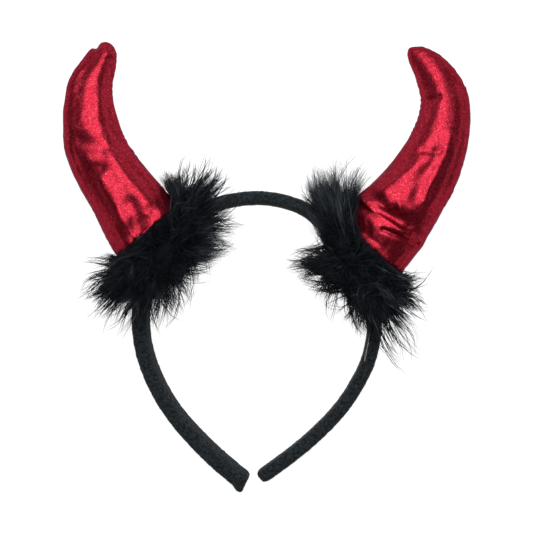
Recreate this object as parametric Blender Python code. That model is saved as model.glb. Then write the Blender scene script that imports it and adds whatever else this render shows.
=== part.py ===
"""Devil horns headband, lying on its back.

A felt-covered hair band carries two stuffed horns of metallic cloth. A felt disc closes the
foot of each horn, and a feather trim is wound round it.

The object lies on z = 0. +Y runs from the ends of the band to the horns, +X runs from the
left horn to the right one, and the origin is under the middle of the whole object. Sizes are
in millimetres, and MM turns them into Blender's metres as each mesh is made.
"""

import math
import random
from typing import NamedTuple

import bmesh
import bpy
from mathutils import Matrix, Vector
from mathutils.bvhtree import BVHTree

MM = 0.001

BAND_WIDTH = 10.0
BAND_THICKNESS = 6.7
BAND_CORNER = 2.0
BAND_STEPS = 3
SEAT_GAP = 0.3

HORN_SIDES = 20
HORN_STEPS = 2
SEAM_SHARPNESS = 1.15
DEEPEST_DENT_SHARE = 0.3
REST_SAG = 0.9

DISC_THICKNESS = 1.8
DISC_INSET = 0.6
NECK_LENGTHWAYS = 12.0
NECK_ACROSS = 7.6

# The trim's ring. Heights are above the floor, and outward is away from the head.
TRIM_SECTIONS = 22
TRIM_SIDES = 9
TUBE_RADIUS = 7.2
TUBE_SPREAD = 10.5
INNER_SHARE = 0.55
TRIM_GAP = 0.5
END_HEIGHT = 14.0
END_OUT = 6.6
FRONT_OUT = -3.0
BACK_OUT = -4.0
RING_SQUARENESS = 0.75

# The locks. Each step draws one out by a share of its length, narrows it and bends it.
LOCK_STEPS = [(0.55, 0.62, 0.0), (0.45, 0.30, 0.5)]
LOCK_SPLAY = 0.5
LOCK_WANDER = 0.28
LOCK_BEND = 0.4
LOCK_CLEARANCE = 1.4
SHORTEST_SHARE = 0.62
SHORTEST_LOCK = 3.0
LOWEST_TIP = 1.6
LEAST_RISE = 0.25

FELT_COLOUR = (0.0145, 0.0185, 0.0215)
BASE_COLOUR = (0.012, 0.014, 0.016)
CLOTH_COLOUR = (0.50, 0.016, 0.034)
FEATHER_COLOUR = (0.0045, 0.0065, 0.0085)


class BandRow(NamedTuple):
    """One station of the band: where its middle is, and how far its inner face turns up."""

    x: float
    y: float
    z: float
    twist: float


class HornRow(NamedTuple):
    """One section of a horn, in the horn's own frame, from its foot to its tip."""

    across: float
    along: float
    lean: float
    width: float
    depth: float
    middle: float
    crease: float


class Dent(NamedTuple):
    """A hollow in a horn's cloth: its place along and round the horn, its size and depth."""

    along: float
    round: float
    length: float
    spread: float
    depth: float


class Horn(NamedTuple):
    """A horn's place on the floor plan, its turn, sections and dents, and where it is seated."""

    side: str
    x: float
    y: float
    turn: float
    rows: list
    dents: list
    seat_reach: float
    seat_height: float


class Trim(NamedTuple):
    """A feather trim's ring: its place and turn on the band, its reach, seed and longest lock."""

    side: str
    x: float
    y: float
    turn: float
    band_height: float
    reach: float
    seed: int
    longest: float


BAND_ROWS = [
    BandRow(-13.4, -110.2, 5.13, 23.0),
    BandRow(-30.3, -95.6, 7.0, 23.0),
    BandRow(-47.6, -76.8, 8.5, 21.0),
    BandRow(-58.6, -58.0, 10.0, 19.0),
    BandRow(-64.4, -39.2, 11.6, 16.0),
    BandRow(-65.1, -20.5, 13.2, 13.0),
    BandRow(-60.8, -3.5, 14.6, 9.0),
    BandRow(-53.3, 10.2, 15.8, 7.0),
    BandRow(-42.0, 22.3, 16.8, 6.0),
    BandRow(-27.1, 31.1, 17.6, 5.0),
    BandRow(-4.5, 34.7, 17.9, 4.0),
    BandRow(15.9, 30.6, 17.5, 4.0),
    BandRow(29.7, 20.4, 16.6, 4.0),
    BandRow(42.1, 4.8, 15.3, 4.0),
    BandRow(50.4, -12.0, 13.8, 2.0),
    BandRow(54.9, -30.0, 12.3, 2.0),
    BandRow(53.9, -42.1, 11.3, 2.0),
    BandRow(49.6, -55.0, 10.3, 2.0),
    BandRow(38.0, -73.8, 8.7, 2.0),
    BandRow(19.3, -92.6, 7.1, 2.0),
    BandRow(-1.1, -108.2, 5.03, 2.0),
]

# How far each end of the band reaches past its last station, and how much it narrows there
SQUARE_END = [(1.2, 0.98), (3.0, 0.72)]
ROUND_END = [(1.4, 0.95), (2.8, 0.78), (3.6, 0.45)]

LEFT_ROWS = [
    HornRow(0.0, 0.0, 0.0, 40.7, 32.5, 16.0, 0.0),
    HornRow(1.2, 9.4, -7.7, 39.4, 33.0, 16.2, 0.0),
    HornRow(2.6, 18.7, -13.1, 37.5, 32.0, 15.8, 0.0),
    HornRow(4.2, 32.8, -18.0, 35.4, 30.0, 14.8, 0.0),
    HornRow(7.0, 46.9, -24.3, 33.2, 28.0, 13.7, 0.0),
    HornRow(10.3, 55.8, -26.2, 31.5, 26.0, 12.8, 0.0),
    HornRow(15.2, 63.9, -29.7, 29.0, 24.0, 11.8, 0.0),
    HornRow(20.9, 71.1, -34.4, 25.7, 21.5, 10.6, 0.0),
    HornRow(27.2, 77.2, -40.4, 23.6, 19.0, 9.4, 0.0),
    HornRow(33.9, 81.0, -43.2, 20.6, 16.5, 8.2, 0.0),
    HornRow(40.6, 84.9, -47.0, 15.8, 13.0, 6.6, 0.0),
    HornRow(44.1, 87.0, -48.8, 10.9, 9.5, 5.4, 0.0),
    HornRow(46.3, 88.8, -47.0, 3.4, 4.0, 4.4, 0.0),
]

RIGHT_ROWS = [
    HornRow(0.0, 0.0, 0.0, 36.2, 31.0, 15.5, 0.0),
    HornRow(-1.3, 6.3, 10.4, 38.8, 32.5, 16.0, 0.0),
    HornRow(-2.6, 13.0, 12.0, 42.4, 34.0, 16.5, 0.0),
    HornRow(-3.6, 17.2, 12.0, 42.6, 33.5, 16.4, 3.0),
    HornRow(-4.3, 21.3, 18.0, 43.7, 34.5, 16.7, 0.0),
    HornRow(-4.6, 28.8, 27.0, 44.0, 34.0, 16.5, 0.0),
    HornRow(-4.8, 37.1, 32.2, 42.6, 33.0, 16.0, 0.0),
    HornRow(-5.7, 46.4, 34.3, 39.2, 31.0, 15.0, 0.0),
    HornRow(-7.4, 55.8, 36.6, 35.7, 29.0, 14.2, 0.0),
    HornRow(-10.1, 65.5, 42.1, 32.3, 27.0, 13.2, 0.0),
    HornRow(-14.0, 74.0, 45.4, 29.4, 24.5, 12.0, 0.0),
    HornRow(-18.2, 80.9, 51.6, 27.1, 22.0, 10.8, 0.0),
    HornRow(-22.9, 85.8, 58.2, 24.5, 19.5, 9.6, 0.0),
    HornRow(-29.2, 89.2, 65.0, 21.9, 17.0, 8.4, 0.0),
    HornRow(-36.2, 92.0, 72.9, 18.3, 14.5, 7.2, 0.0),
    HornRow(-42.6, 93.1, 80.2, 14.0, 11.5, 6.0, 0.0),
    HornRow(-46.9, 93.5, 85.1, 9.3, 8.5, 5.0, 0.0),
    HornRow(-50.3, 93.4, 88.0, 3.0, 4.0, 4.2, 0.0),
]

LEFT_DENTS = [
    Dent(20.0, 150.0, 9.0, 22.0, 1.2),
    Dent(45.0, 25.0, 7.0, 20.0, 1.3),
    Dent(62.0, 165.0, 6.0, 20.0, 1.0),
    Dent(80.0, 60.0, 6.0, 26.0, 0.9),
    Dent(97.0, 120.0, 4.0, 30.0, 0.8),
]

RIGHT_DENTS = [
    Dent(30.0, 25.0, 7.0, 22.0, 1.2),
    Dent(50.0, 155.0, 8.0, 22.0, 1.3),
    Dent(78.0, 160.0, 4.0, 24.0, 1.6),
    Dent(92.0, 50.0, 7.0, 26.0, 1.0),
    Dent(112.0, 110.0, 5.0, 30.0, 0.9),
]

HORNS = [
    Horn("left", -61.6, 18.0, 40.4, LEFT_ROWS, LEFT_DENTS, 12.2, 15.7),
    Horn("right", 55.3, 7.6, -38.4, RIGHT_ROWS, RIGHT_DENTS, 14.6, 14.6),
]

TRIMS = [
    Trim("left", -52.7, 10.8, 53.0, 15.8, 26.5, 11, 13.0),
    Trim("right", 44.4, 1.0, -60.0, 14.9, 26.5, 23, 14.0),
]


def finish(name, colour, roughness, metallic):
    """A material with one Principled shader."""
    material = bpy.data.materials.new(name)
    material.use_nodes = True
    shader = material.node_tree.nodes["Principled BSDF"]
    shader.inputs["Base Color"].default_value = (*colour, 1.0)
    shader.inputs["Roughness"].default_value = roughness
    shader.inputs["Metallic"].default_value = metallic
    material.diffuse_color = (*colour, 1.0)
    return material


def blend_rows(rows, steps):
    """Rows along a smooth curve through the given ones, with a number of steps to each span."""
    row_type = type(rows[0])
    smooth = []
    for index in range(len(rows) - 1):
        before = rows[max(index - 1, 0)]
        start = rows[index]
        end = rows[index + 1]
        after = rows[min(index + 2, len(rows) - 1)]
        for step in range(steps):
            t = step / steps
            values = [
                0.5 * (2 * b + (c - a) * t + (2 * a - 5 * b + 4 * c - d) * t ** 2
                       + (3 * b - a - 3 * c + d) * t ** 3)
                for a, b, c, d in zip(before, start, end, after)
            ]
            smooth.append(row_type(*values))
    smooth.append(rows[-1])
    return smooth


def tube_faces(sections, sides):
    """Faces of a closed tube whose sections follow each other, with a flat cap on each end."""
    faces = [tuple(reversed(range(sides)))]
    for section in range(sections - 1):
        for side in range(sides):
            low = section * sides + side
            low_next = section * sides + (side + 1) % sides
            faces.append((low, low_next, low_next + sides, low + sides))
    last = (sections - 1) * sides
    faces.append(tuple(range(last, last + sides)))
    return faces


def add_object(name, points, faces, material, parent, smooth_angle=None):
    """An object whose mesh has the given points, in millimetres, with its faces turned out."""
    mesh = bpy.data.meshes.new(name)
    mesh.from_pydata([Vector(point) * MM for point in points], [], faces)
    work = bmesh.new()
    work.from_mesh(mesh)
    bmesh.ops.recalc_face_normals(work, faces=work.faces)
    work.to_mesh(mesh)
    work.free()
    if smooth_angle is not None:
        mesh.shade_smooth()
        mesh.set_sharp_from_angle(angle=math.radians(smooth_angle))
    if material is not None:
        mesh.materials.append(material)
    body = bpy.data.objects.new(name, mesh)
    bpy.context.collection.objects.link(body)
    body.parent = parent
    return body


def make_guide(body):
    """Turn an object into a hidden guide that only takes material from others."""
    body.hide_render = True
    body.display_type = "WIRE"
    return body


def cut_away(body, cutter):
    """Take a cutter's shape out of a body."""
    cut = body.modifiers.new("clear_of_" + cutter.name, "BOOLEAN")
    cut.operation = "DIFFERENCE"
    cut.object = cutter


def band_section(width, thickness, corner):
    """The band's rounded section, as pairs of a distance out from the head and one up."""
    points = []
    corners = [(1, 1, 0), (-1, 1, 90), (-1, -1, 180), (1, -1, 270)]
    for out, up, first_angle in corners:
        for angle in (first_angle, first_angle + 45, first_angle + 90):
            points.append((
                out * (thickness / 2 - corner) + corner * math.cos(math.radians(angle)),
                up * (width / 2 - corner) + corner * math.sin(math.radians(angle)),
            ))
    return points


def band_mesh(grow):
    """Points and faces of the band, with its section grown on every side."""
    section = band_section(BAND_WIDTH + 2 * grow, BAND_THICKNESS + 2 * grow, BAND_CORNER + grow)
    rows = blend_rows(BAND_ROWS, BAND_STEPS)
    middles = [Vector(row[:3]) for row in rows]
    stations = []
    for index, row in enumerate(rows):
        ahead = middles[min(index + 1, len(rows) - 1)]
        behind = middles[max(index - 1, 0)]
        stations.append((middles[index], (ahead - behind).normalized(), row.twist, 1.0))
    first, start_way, start_twist, _ = stations[0]
    last, end_way, end_twist, _ = stations[-1]
    start = [(first - start_way * reach, start_way, start_twist, share)
             for reach, share in reversed(SQUARE_END)]
    end = [(last + end_way * reach, end_way, end_twist, share) for reach, share in ROUND_END]
    stations = start + stations + end
    points = []
    for middle, way, twist, share in stations:
        outward = Vector((-way.y, way.x, 0.0)).normalized()
        upward = way.cross(outward).normalized()
        if upward.z < 0:
            upward = -upward
        turn = math.radians(twist)
        out_axis = outward * math.cos(turn) - upward * math.sin(turn)
        up_axis = upward * math.cos(turn) + outward * math.sin(turn)
        points += [middle + share * (out_axis * out + up_axis * up) for out, up in section]
    return points, tube_faces(len(stations), len(section))


def dent_depth(dents, along, around):
    """How far the cloth sinks in at a place along and round a horn, in millimetres."""
    depth = 0.0
    for dent in dents:
        away = ((along - dent.along) / dent.length) ** 2 + ((around - dent.round) / dent.spread) ** 2
        depth += dent.depth * math.exp(-away)
    return depth


def horn_section(row, dents, along, grow, floor):
    """The points of one section of a horn, flat where it rests on the floor."""
    lean = math.radians(row.lean)
    centre = Vector((row.across, row.along, row.middle - REST_SAG))
    sideways = Vector((math.cos(lean), math.sin(lean), 0.0))
    points = []
    for side in range(HORN_SIDES):
        degrees = 360.0 * side / HORN_SIDES
        angle = math.radians(degrees)
        out = math.cos(angle)
        up = math.copysign(abs(math.sin(angle)) ** SEAM_SHARPNESS, math.sin(angle))
        sink = dent_depth(dents, along, degrees) + row.crease * max(up, 0.0)
        radius = math.hypot(row.width / 2 * out, row.depth / 2 * up)
        share = (radius - min(sink, radius * DEEPEST_DENT_SHARE) + grow) / radius
        point = centre + share * (sideways * row.width / 2 * out
                                  + Vector((0.0, 0.0, row.depth / 2 * up)))
        point.z = max(point.z, floor)
        points.append(point)
    return points


def horn_mesh(horn, grow):
    """Points and faces of a stuffed horn in its own frame, with its foot at y = 0."""
    rows = blend_rows(horn.rows, HORN_STEPS)
    points = []
    along = 0.0
    for index, row in enumerate(rows):
        if index:
            last = rows[index - 1]
            along += math.hypot(row.across - last.across, row.along - last.along)
        points += horn_section(row, horn.dents, along, grow, -grow)
    return points, tube_faces(len(rows), HORN_SIDES)


def neck_loops(horn, top, grow):
    """The two loops of the neck: on the band's middle line, and at a height under the horn."""
    loops = []
    for y, height in ((-horn.seat_reach, horn.seat_height), (top, horn.rows[0].middle)):
        loop = []
        for side in range(HORN_SIDES):
            angle = 2 * math.pi * side / HORN_SIDES
            loop.append(Vector((
                (NECK_LENGTHWAYS / 2 + grow) * math.cos(angle),
                y,
                height + (NECK_ACROSS / 2 + grow) * math.sin(angle),
            )))
        loops.append(loop)
    return loops


def base_mesh(horn):
    """Points and faces of the disc under a horn and of the neck that seats it on the band."""
    under = -SEAT_GAP - DISC_THICKNESS
    loops = neck_loops(horn, under, 0.0)
    for y in (under, -SEAT_GAP):
        loops.append(horn_section(horn.rows[0]._replace(along=y), [], 0.0, -DISC_INSET, 0.0))
    points = [point for loop in loops for point in loop]
    return points, tube_faces(len(loops), HORN_SIDES)


def clearance_mesh(horn):
    """Points and faces of a guide round a horn, its disc and its neck, a gap larger than them."""
    under = -SEAT_GAP - DISC_THICKNESS - TRIM_GAP
    loops = neck_loops(horn, under, TRIM_GAP)
    loops.append(horn_section(horn.rows[0]._replace(along=under), [], 0.0, TRIM_GAP, -TRIM_GAP))
    horn_points, _ = horn_mesh(horn, TRIM_GAP)
    points = [point for loop in loops for point in loop] + horn_points
    return points, tube_faces(len(points) // HORN_SIDES, HORN_SIDES)


def place_frame(place):
    """The turn and place that carry a horn's or a trim's own frame to the object's."""
    turn = Matrix.Rotation(math.radians(place.turn), 4, "Z")
    return Matrix.Translation((place.x, place.y, 0.0)) @ turn


def trim_ring(trim):
    """The middle of the tube at each section of a trim's ring, and its half width there.

    The ring is draped on the band. Its ends lie on the band's outer face, its front passes over
    the band, and its back is pressed flat between the band and the floor.
    """
    front_height = trim.band_height + BAND_WIDTH / 2 + TUBE_RADIUS + SEAT_GAP
    sections = []
    for index in range(TRIM_SECTIONS):
        angle = 2 * math.pi * index / TRIM_SECTIONS
        swing = math.sin(angle)
        rise = abs(swing) ** RING_SQUARENESS
        height, middle_out = (front_height, FRONT_OUT) if swing > 0 else (back_half(trim), BACK_OUT)
        end_share = math.cos(angle) ** 2
        middle = Vector((
            trim.reach * math.cos(angle),
            END_OUT * end_share + middle_out * (1 - end_share),
            END_HEIGHT + (height - END_HEIGHT) * rise,
        ))
        sections.append((middle, TUBE_RADIUS * end_share + TUBE_SPREAD * (1 - end_share)))
    return sections


def back_half(trim):
    """Half the height that the band leaves above the floor for the back of the ring."""
    return (trim.band_height - BAND_WIDTH / 2 - SEAT_GAP) / 2


def trim_mesh(trim):
    """Points and faces of the closed ring that a trim's locks grow from, in its own frame."""
    sections = trim_ring(trim)
    hub = Vector((0.0, 0.0, END_HEIGHT))
    points = []
    faces = []
    for index, (middle, half_wide) in enumerate(sections):
        following = (index + 1) % TRIM_SECTIONS
        way = (sections[following][0] - sections[index - 1][0]).normalized()
        radial = way.cross(Vector((0.0, 1.0, 0.0))).normalized()
        if radial.dot(middle - hub) < 0:
            radial = -radial
        sideways = way.cross(radial)
        freedom = min(1.0, (middle.z - back_half(trim)) / (END_HEIGHT - back_half(trim)))
        half_high = back_half(trim) + (TUBE_RADIUS - back_half(trim)) * freedom
        for side in range(TRIM_SIDES):
            angle = 2 * math.pi * side / TRIM_SIDES
            reach = half_high * math.cos(angle) * (1.0 if math.cos(angle) > 0 else INNER_SHARE)
            point = middle + radial * reach + sideways * half_wide * math.sin(angle)
            points.append(Vector((point.x, point.y, max(point.z, 0.0))))
            beside = (side + 1) % TRIM_SIDES
            faces.append((
                index * TRIM_SIDES + side,
                index * TRIM_SIDES + beside,
                following * TRIM_SIDES + beside,
                following * TRIM_SIDES + side,
            ))
    return points, faces


def surroundings(trim, horn):
    """A search tree of the band, horn and base round a trim, in the trim's own frame."""
    from_object = place_frame(trim).inverted()
    pieces = [
        (band_mesh(SEAT_GAP), from_object),
        (clearance_mesh(horn), from_object @ place_frame(horn)),
    ]
    points = []
    faces = []
    for (piece_points, piece_faces), frame in pieces:
        start = len(points)
        points += [(frame @ Vector(point)) * MM for point in piece_points]
        faces += [tuple(start + corner for corner in face) for face in piece_faces]
    return BVHTree.FromPolygons(points, faces)


def lock_room(face, way, length, blocked):
    """How long a lock may grow out of a face before it meets a neighbour."""
    centre = face.calc_center_median()
    for start in [centre] + [corner.co.lerp(centre, 0.1) for corner in face.verts]:
        place, _, _, distance = blocked.ray_cast(start, way, length + LOCK_CLEARANCE * MM)
        if place is not None:
            length = min(length, distance - LOCK_CLEARANCE * MM)
    return length


def draw_lock(work, face, way, bend, length):
    """Draw one lock out of a face in steps, each narrower than the last and bent a little more."""
    for share, width, turn in LOCK_STEPS:
        heading = (way + bend * turn).normalized()
        face = bmesh.ops.extrude_discrete_faces(work, faces=[face])["faces"][0]
        middle = face.calc_center_median()
        for corner in face.verts:
            corner.co = middle + (corner.co - middle) * width + heading * length * share
            corner.co.z = max(corner.co.z, 0.0)


def add_locks(work, trim, blocked):
    """Draw a tapered lock of feather out of each face of the ring that has room for one."""
    chance = random.Random(trim.seed)
    for face in list(work.faces):
        centre = face.calc_center_median()
        splay = Vector((centre.x, centre.y, 0.0)).normalized() * LOCK_SPLAY
        wander = Vector([chance.uniform(-LOCK_WANDER, LOCK_WANDER) for _ in range(3)])
        bend = Vector([chance.uniform(-LOCK_BEND, LOCK_BEND) for _ in range(3)])
        length = trim.longest * chance.uniform(SHORTEST_SHARE, 1.0) * MM
        way = (face.normal + splay + wander).normalized()
        if centre.z + way.z * length < LOWEST_TIP * MM:
            way.z = (LOWEST_TIP * MM - centre.z) / length
            way.normalize()
        length = lock_room(face, way, length, blocked)
        if length > SHORTEST_LOCK * MM and way.dot(face.normal) > LEAST_RISE:
            draw_lock(work, face, way, bend, length)


def set_down(body, place):
    """Put an object that was made in a horn's or a trim's own frame in its place."""
    body.location = Vector((place.x, place.y, 0.0)) * MM
    body.rotation_euler.z = math.radians(place.turn)


def make_horn(horn, parent):
    """A stuffed horn."""
    cloth = finish("horn_cloth_" + horn.side, CLOTH_COLOUR, 0.32, 0.85)
    body = add_object("horn_" + horn.side, *horn_mesh(horn, 0.0), cloth, parent, 60)
    set_down(body, horn)


def make_base(horn, parent, band_clearance):
    """The disc and neck under a horn, seated on the band."""
    felt = finish("base_felt_" + horn.side, BASE_COLOUR, 0.95, 0.0)
    body = add_object("horn_" + horn.side + "_base", *base_mesh(horn), felt, parent, 40)
    set_down(body, horn)
    cut_away(body, band_clearance)


def make_trim(trim, horn, parent, band_clearance):
    """A ring of feather with its locks, clear of the band and of the horn that it goes round."""
    feather = finish("feather_" + trim.side, FEATHER_COLOUR, 0.9, 0.0)
    body = add_object("feather_trim_" + trim.side, *trim_mesh(trim), feather, parent, 30)
    work = bmesh.new()
    work.from_mesh(body.data)
    work.normal_update()
    add_locks(work, trim, surroundings(trim, horn))
    bmesh.ops.recalc_face_normals(work, faces=work.faces)
    work.to_mesh(body.data)
    work.free()
    set_down(body, trim)
    name = "horn_clearance_" + horn.side
    horn_clearance = make_guide(add_object(name, *clearance_mesh(horn), None, parent))
    set_down(horn_clearance, horn)
    cut_away(body, band_clearance)
    cut_away(body, horn_clearance)


def main():
    for old in list(bpy.data.objects):
        bpy.data.objects.remove(old)
    headband = bpy.data.objects.new("headband", None)
    bpy.context.collection.objects.link(headband)
    felt = finish("band_felt", FELT_COLOUR, 0.95, 0.0)
    add_object("band", *band_mesh(0.0), felt, headband, 35)
    clearance = add_object("band_clearance", *band_mesh(SEAT_GAP), None, headband)
    make_guide(clearance)
    for horn, trim in zip(HORNS, TRIMS):
        make_horn(horn, headband)
        make_base(horn, headband, clearance)
        make_trim(trim, horn, headband, clearance)


main()
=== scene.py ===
"""The looks of the devil horns headband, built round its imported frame.

The object lies on its back on z = 0, as the frame does. +Y runs from the ends of the band to
the horns and +X from the left horn to the right one. Places and sizes are in millimetres in the
tables and are turned into metres by MM where a mesh is made.
"""

import logging
import math
from dataclasses import dataclass, field
from enum import Enum

import bpy
import numpy as np
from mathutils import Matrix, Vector
from mathutils.bvhtree import BVHTree


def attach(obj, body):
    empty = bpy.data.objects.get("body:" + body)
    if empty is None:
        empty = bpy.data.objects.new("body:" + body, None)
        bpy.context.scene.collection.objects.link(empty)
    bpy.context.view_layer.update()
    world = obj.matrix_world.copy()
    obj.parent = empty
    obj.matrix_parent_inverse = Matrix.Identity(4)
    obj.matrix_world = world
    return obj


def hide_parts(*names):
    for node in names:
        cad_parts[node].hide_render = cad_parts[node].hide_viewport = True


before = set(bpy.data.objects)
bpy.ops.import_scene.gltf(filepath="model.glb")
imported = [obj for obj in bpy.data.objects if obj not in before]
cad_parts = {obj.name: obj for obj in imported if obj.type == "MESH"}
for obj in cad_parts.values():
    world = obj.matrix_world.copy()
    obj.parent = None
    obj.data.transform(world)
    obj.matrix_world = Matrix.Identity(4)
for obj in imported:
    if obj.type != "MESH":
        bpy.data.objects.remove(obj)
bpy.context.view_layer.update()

log = logging.getLogger("headband")

MM = 0.001
BODY = "root"
Colour = tuple[float, float, float]
Row = tuple[float, float, float]
Pair = tuple[float, float]
RIPPLE_WAVES = 14
RIPPLE_LENGTHS = (0.6, 1.7)
RIPPLE_SCALE = 1.6
RIBBON_TAPER = 2.5
PART_SIZE = 8192


class Side(Enum):
    """Which half of the headband a piece belongs to, as seen from above."""

    LEFT = "left"
    RIGHT = "right"


class Down(Enum):
    """The kinds of plume in a feather trim."""

    FLUFF = "fluff"
    COLLAR = "collar"
    TUFT = "tuft"
    FLANK = "flank"
    HAZE = "haze"
    LOCK = "lock"
    WISP = "wisp"


# Mesh helpers


def select_only(piece: bpy.types.Object) -> None:
    """Make one object the only selected one, and the active one.

    Args:
        piece: The object to select.
    """
    bpy.ops.object.select_all(action="DESELECT")
    piece.select_set(True)
    bpy.context.view_layer.objects.active = piece


def apply_all(piece: bpy.types.Object) -> None:
    """Apply every modifier of a piece in order.

    Args:
        piece: The object whose modifiers become part of its mesh.
    """
    select_only(piece)
    for modifier in list(piece.modifiers):
        bpy.ops.object.modifier_apply(modifier=modifier.name)


def copy_of_node(node: str, name: str) -> bpy.types.Object:
    """Copy a frame node into a piece of its own, with its loose triangles merged.

    Args:
        node: The frame node's name.
        name: The name of the new piece.

    Returns:
        The new object, at the origin.
    """
    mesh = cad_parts[node].data.copy()
    mesh.name = name
    mesh.materials.clear()
    piece = bpy.data.objects.new(name, mesh)
    bpy.context.scene.collection.objects.link(piece)
    select_only(piece)
    bpy.ops.object.mode_set(mode="EDIT")
    bpy.ops.mesh.select_all(action="SELECT")
    bpy.ops.mesh.remove_doubles(threshold=0.01 * MM)
    bpy.ops.mesh.normals_make_consistent(inside=False)
    bpy.ops.mesh.customdata_custom_splitnormals_clear()
    bpy.ops.object.mode_set(mode="OBJECT")
    return piece


def even_out(piece: bpy.types.Object, voxel: float) -> None:
    """Rebuild a piece's mesh in even squares.

    Args:
        piece: The object to remesh.
        voxel: The length of a square's side, in millimetres.
    """
    remesh = piece.modifiers.new("even", "REMESH")
    remesh.mode = "VOXEL"
    remesh.voxel_size = voxel * MM
    remesh.use_smooth_shade = True
    apply_all(piece)


def subdivide(piece: bpy.types.Object, levels: int) -> None:
    """Subdivide a piece smoothly.

    Args:
        piece: The object to refine.
        levels: How many times each face is divided.
    """
    smooth = piece.modifiers.new("smooth", "SUBSURF")
    smooth.levels = levels
    smooth.render_levels = levels
    apply_all(piece)


def soften(piece: bpy.types.Object, times: int, share: float) -> None:
    """Relax a piece's surface.

    Args:
        piece: The object to relax.
        times: How many passes are made.
        share: How far each point goes towards its neighbours' middle in a pass.
    """
    relax = piece.modifiers.new("relax", "SMOOTH")
    relax.iterations = times
    relax.factor = share
    apply_all(piece)


def keep_largest(piece: bpy.types.Object) -> None:
    """Delete all of a piece but its largest connected part.

    Args:
        piece: The object to clear of small parts.
    """
    select_only(piece)
    bpy.ops.object.mode_set(mode="EDIT")
    bpy.ops.mesh.select_all(action="SELECT")
    bpy.ops.mesh.separate(type="LOOSE")
    bpy.ops.object.mode_set(mode="OBJECT")
    parts = list(bpy.context.selected_objects)
    largest = max(parts, key=lambda part: len(part.data.vertices))
    piece.data, largest.data = largest.data, piece.data
    for part in parts:
        if part is not piece:
            bpy.data.objects.remove(part)


def points_of(piece: bpy.types.Object) -> np.ndarray:
    """The piece's points, one row each, in metres."""
    co = np.empty(len(piece.data.vertices) * 3, np.float32)
    piece.data.vertices.foreach_get("co", co)
    return co.reshape(-1, 3).astype(float)


def normals_of(piece: bpy.types.Object) -> np.ndarray:
    """The piece's point normals, one row each."""
    piece.data.update()
    found = np.empty(len(piece.data.vertices) * 3, np.float32)
    piece.data.vertex_normals.foreach_get("vector", found)
    return found.reshape(-1, 3).astype(float)


def put_points(piece: bpy.types.Object, co: np.ndarray) -> None:
    """Give a piece new places for its points."""
    piece.data.vertices.foreach_set("co", co.astype(np.float32).ravel())
    piece.data.update()


def ease(value: np.ndarray, low: float, high: float) -> np.ndarray:
    """A smooth step from 0 at low to 1 at high."""
    t = np.clip((value - low) / (high - low), 0.0, 1.0)
    return t * t * (3.0 - 2.0 * t)


def unit(rows: np.ndarray) -> np.ndarray:
    """Rows scaled to length 1."""
    return rows / np.maximum(np.linalg.norm(rows, axis=-1, keepdims=True), 1e-12)


def ripple(co: np.ndarray, length: float, seed: int) -> np.ndarray:
    """Soft random relief over space, as a sum of waves in random directions.

    Args:
        co: Points, in metres.
        length: The relief's typical wavelength, in millimetres.
        seed: The seed of the waves.

    Returns:
        One value for each point, mostly from -1 to 1.
    """
    chance = np.random.default_rng(seed)
    total = np.zeros(len(co))
    for _ in range(RIPPLE_WAVES):
        way = chance.normal(size=3)
        way /= np.linalg.norm(way)
        wavelength = length * chance.uniform(*RIPPLE_LENGTHS) * MM
        phase = chance.uniform(0.0, 2 * math.pi)
        total += np.sin(co @ way * 2 * math.pi / wavelength + phase)
    return total / math.sqrt(RIPPLE_WAVES / 2) / RIPPLE_SCALE


def smooth_curve(rows: np.ndarray, steps: int) -> np.ndarray:
    """Rows along a smooth curve through the given ones.

    Args:
        rows: The rows that the curve passes through.
        steps: How many steps each span is divided into.

    Returns:
        The rows of the finer curve.
    """
    padded = np.vstack([rows[:1], rows, rows[-1:]])
    fine = []
    for a, b, c, d in zip(padded, padded[1:], padded[2:], padded[3:]):
        for t in np.arange(steps) / steps:
            fine.append(0.5 * (2 * b + (c - a) * t + (2 * a - 5 * b + 4 * c - d) * t ** 2
                               + (3 * b - a - 3 * c + d) * t ** 3))
    fine.append(rows[-1])
    return np.array(fine)


@dataclass
class CentreLine:
    """The line through the middle of a long piece, which its cloth is measured from.

    Attributes:
        middles: Points along the line, in millimetres.
        widths: The piece's width and depth at each point, in millimetres.
    """

    middles: np.ndarray
    widths: np.ndarray

    def nearest(self, co: np.ndarray) -> np.ndarray:
        """The index of the line's point that is nearest to each place on the floor plan."""
        place = co[:, :2] / MM
        found = np.empty(len(place), int)
        for start in range(0, len(place), PART_SIZE):
            part = place[start:start + PART_SIZE, None] - self.middles[None, :, :2]
            found[start:start + PART_SIZE] = np.argmin((part ** 2).sum(-1), axis=1)
        return found

    def ways(self, nearest: np.ndarray) -> tuple[np.ndarray, np.ndarray]:
        """The level directions along and across the line at some of its points."""
        way = unit(np.gradient(self.middles, axis=0) * (1.0, 1.0, 0.0))[nearest]
        return way, np.stack([way[:, 1], -way[:, 0], np.zeros(len(way))], axis=1)

    def locate(self, co: np.ndarray) -> tuple[np.ndarray, np.ndarray, np.ndarray]:
        """Find where points lie along and round the piece.

        Args:
            co: Points, in metres.

        Returns:
            The distance along the line in millimetres, the angle round it from its right-hand
            side through the top, in radians, and the distance from the line in millimetres.
        """
        run = np.concatenate([[0.0], np.cumsum(np.linalg.norm(np.diff(self.middles, axis=0), axis=1))])
        nearest = self.nearest(co)
        away = co / MM - self.middles[nearest]
        way, side = self.ways(nearest)
        along = run[nearest] + (away * way).sum(-1)
        across = (away * side).sum(-1)
        half = self.widths[nearest] / 2
        around = np.arctan2(away[:, 2] / half[:, 1], across / half[:, 0])
        return along, around, np.hypot(across, away[:, 2])


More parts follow.
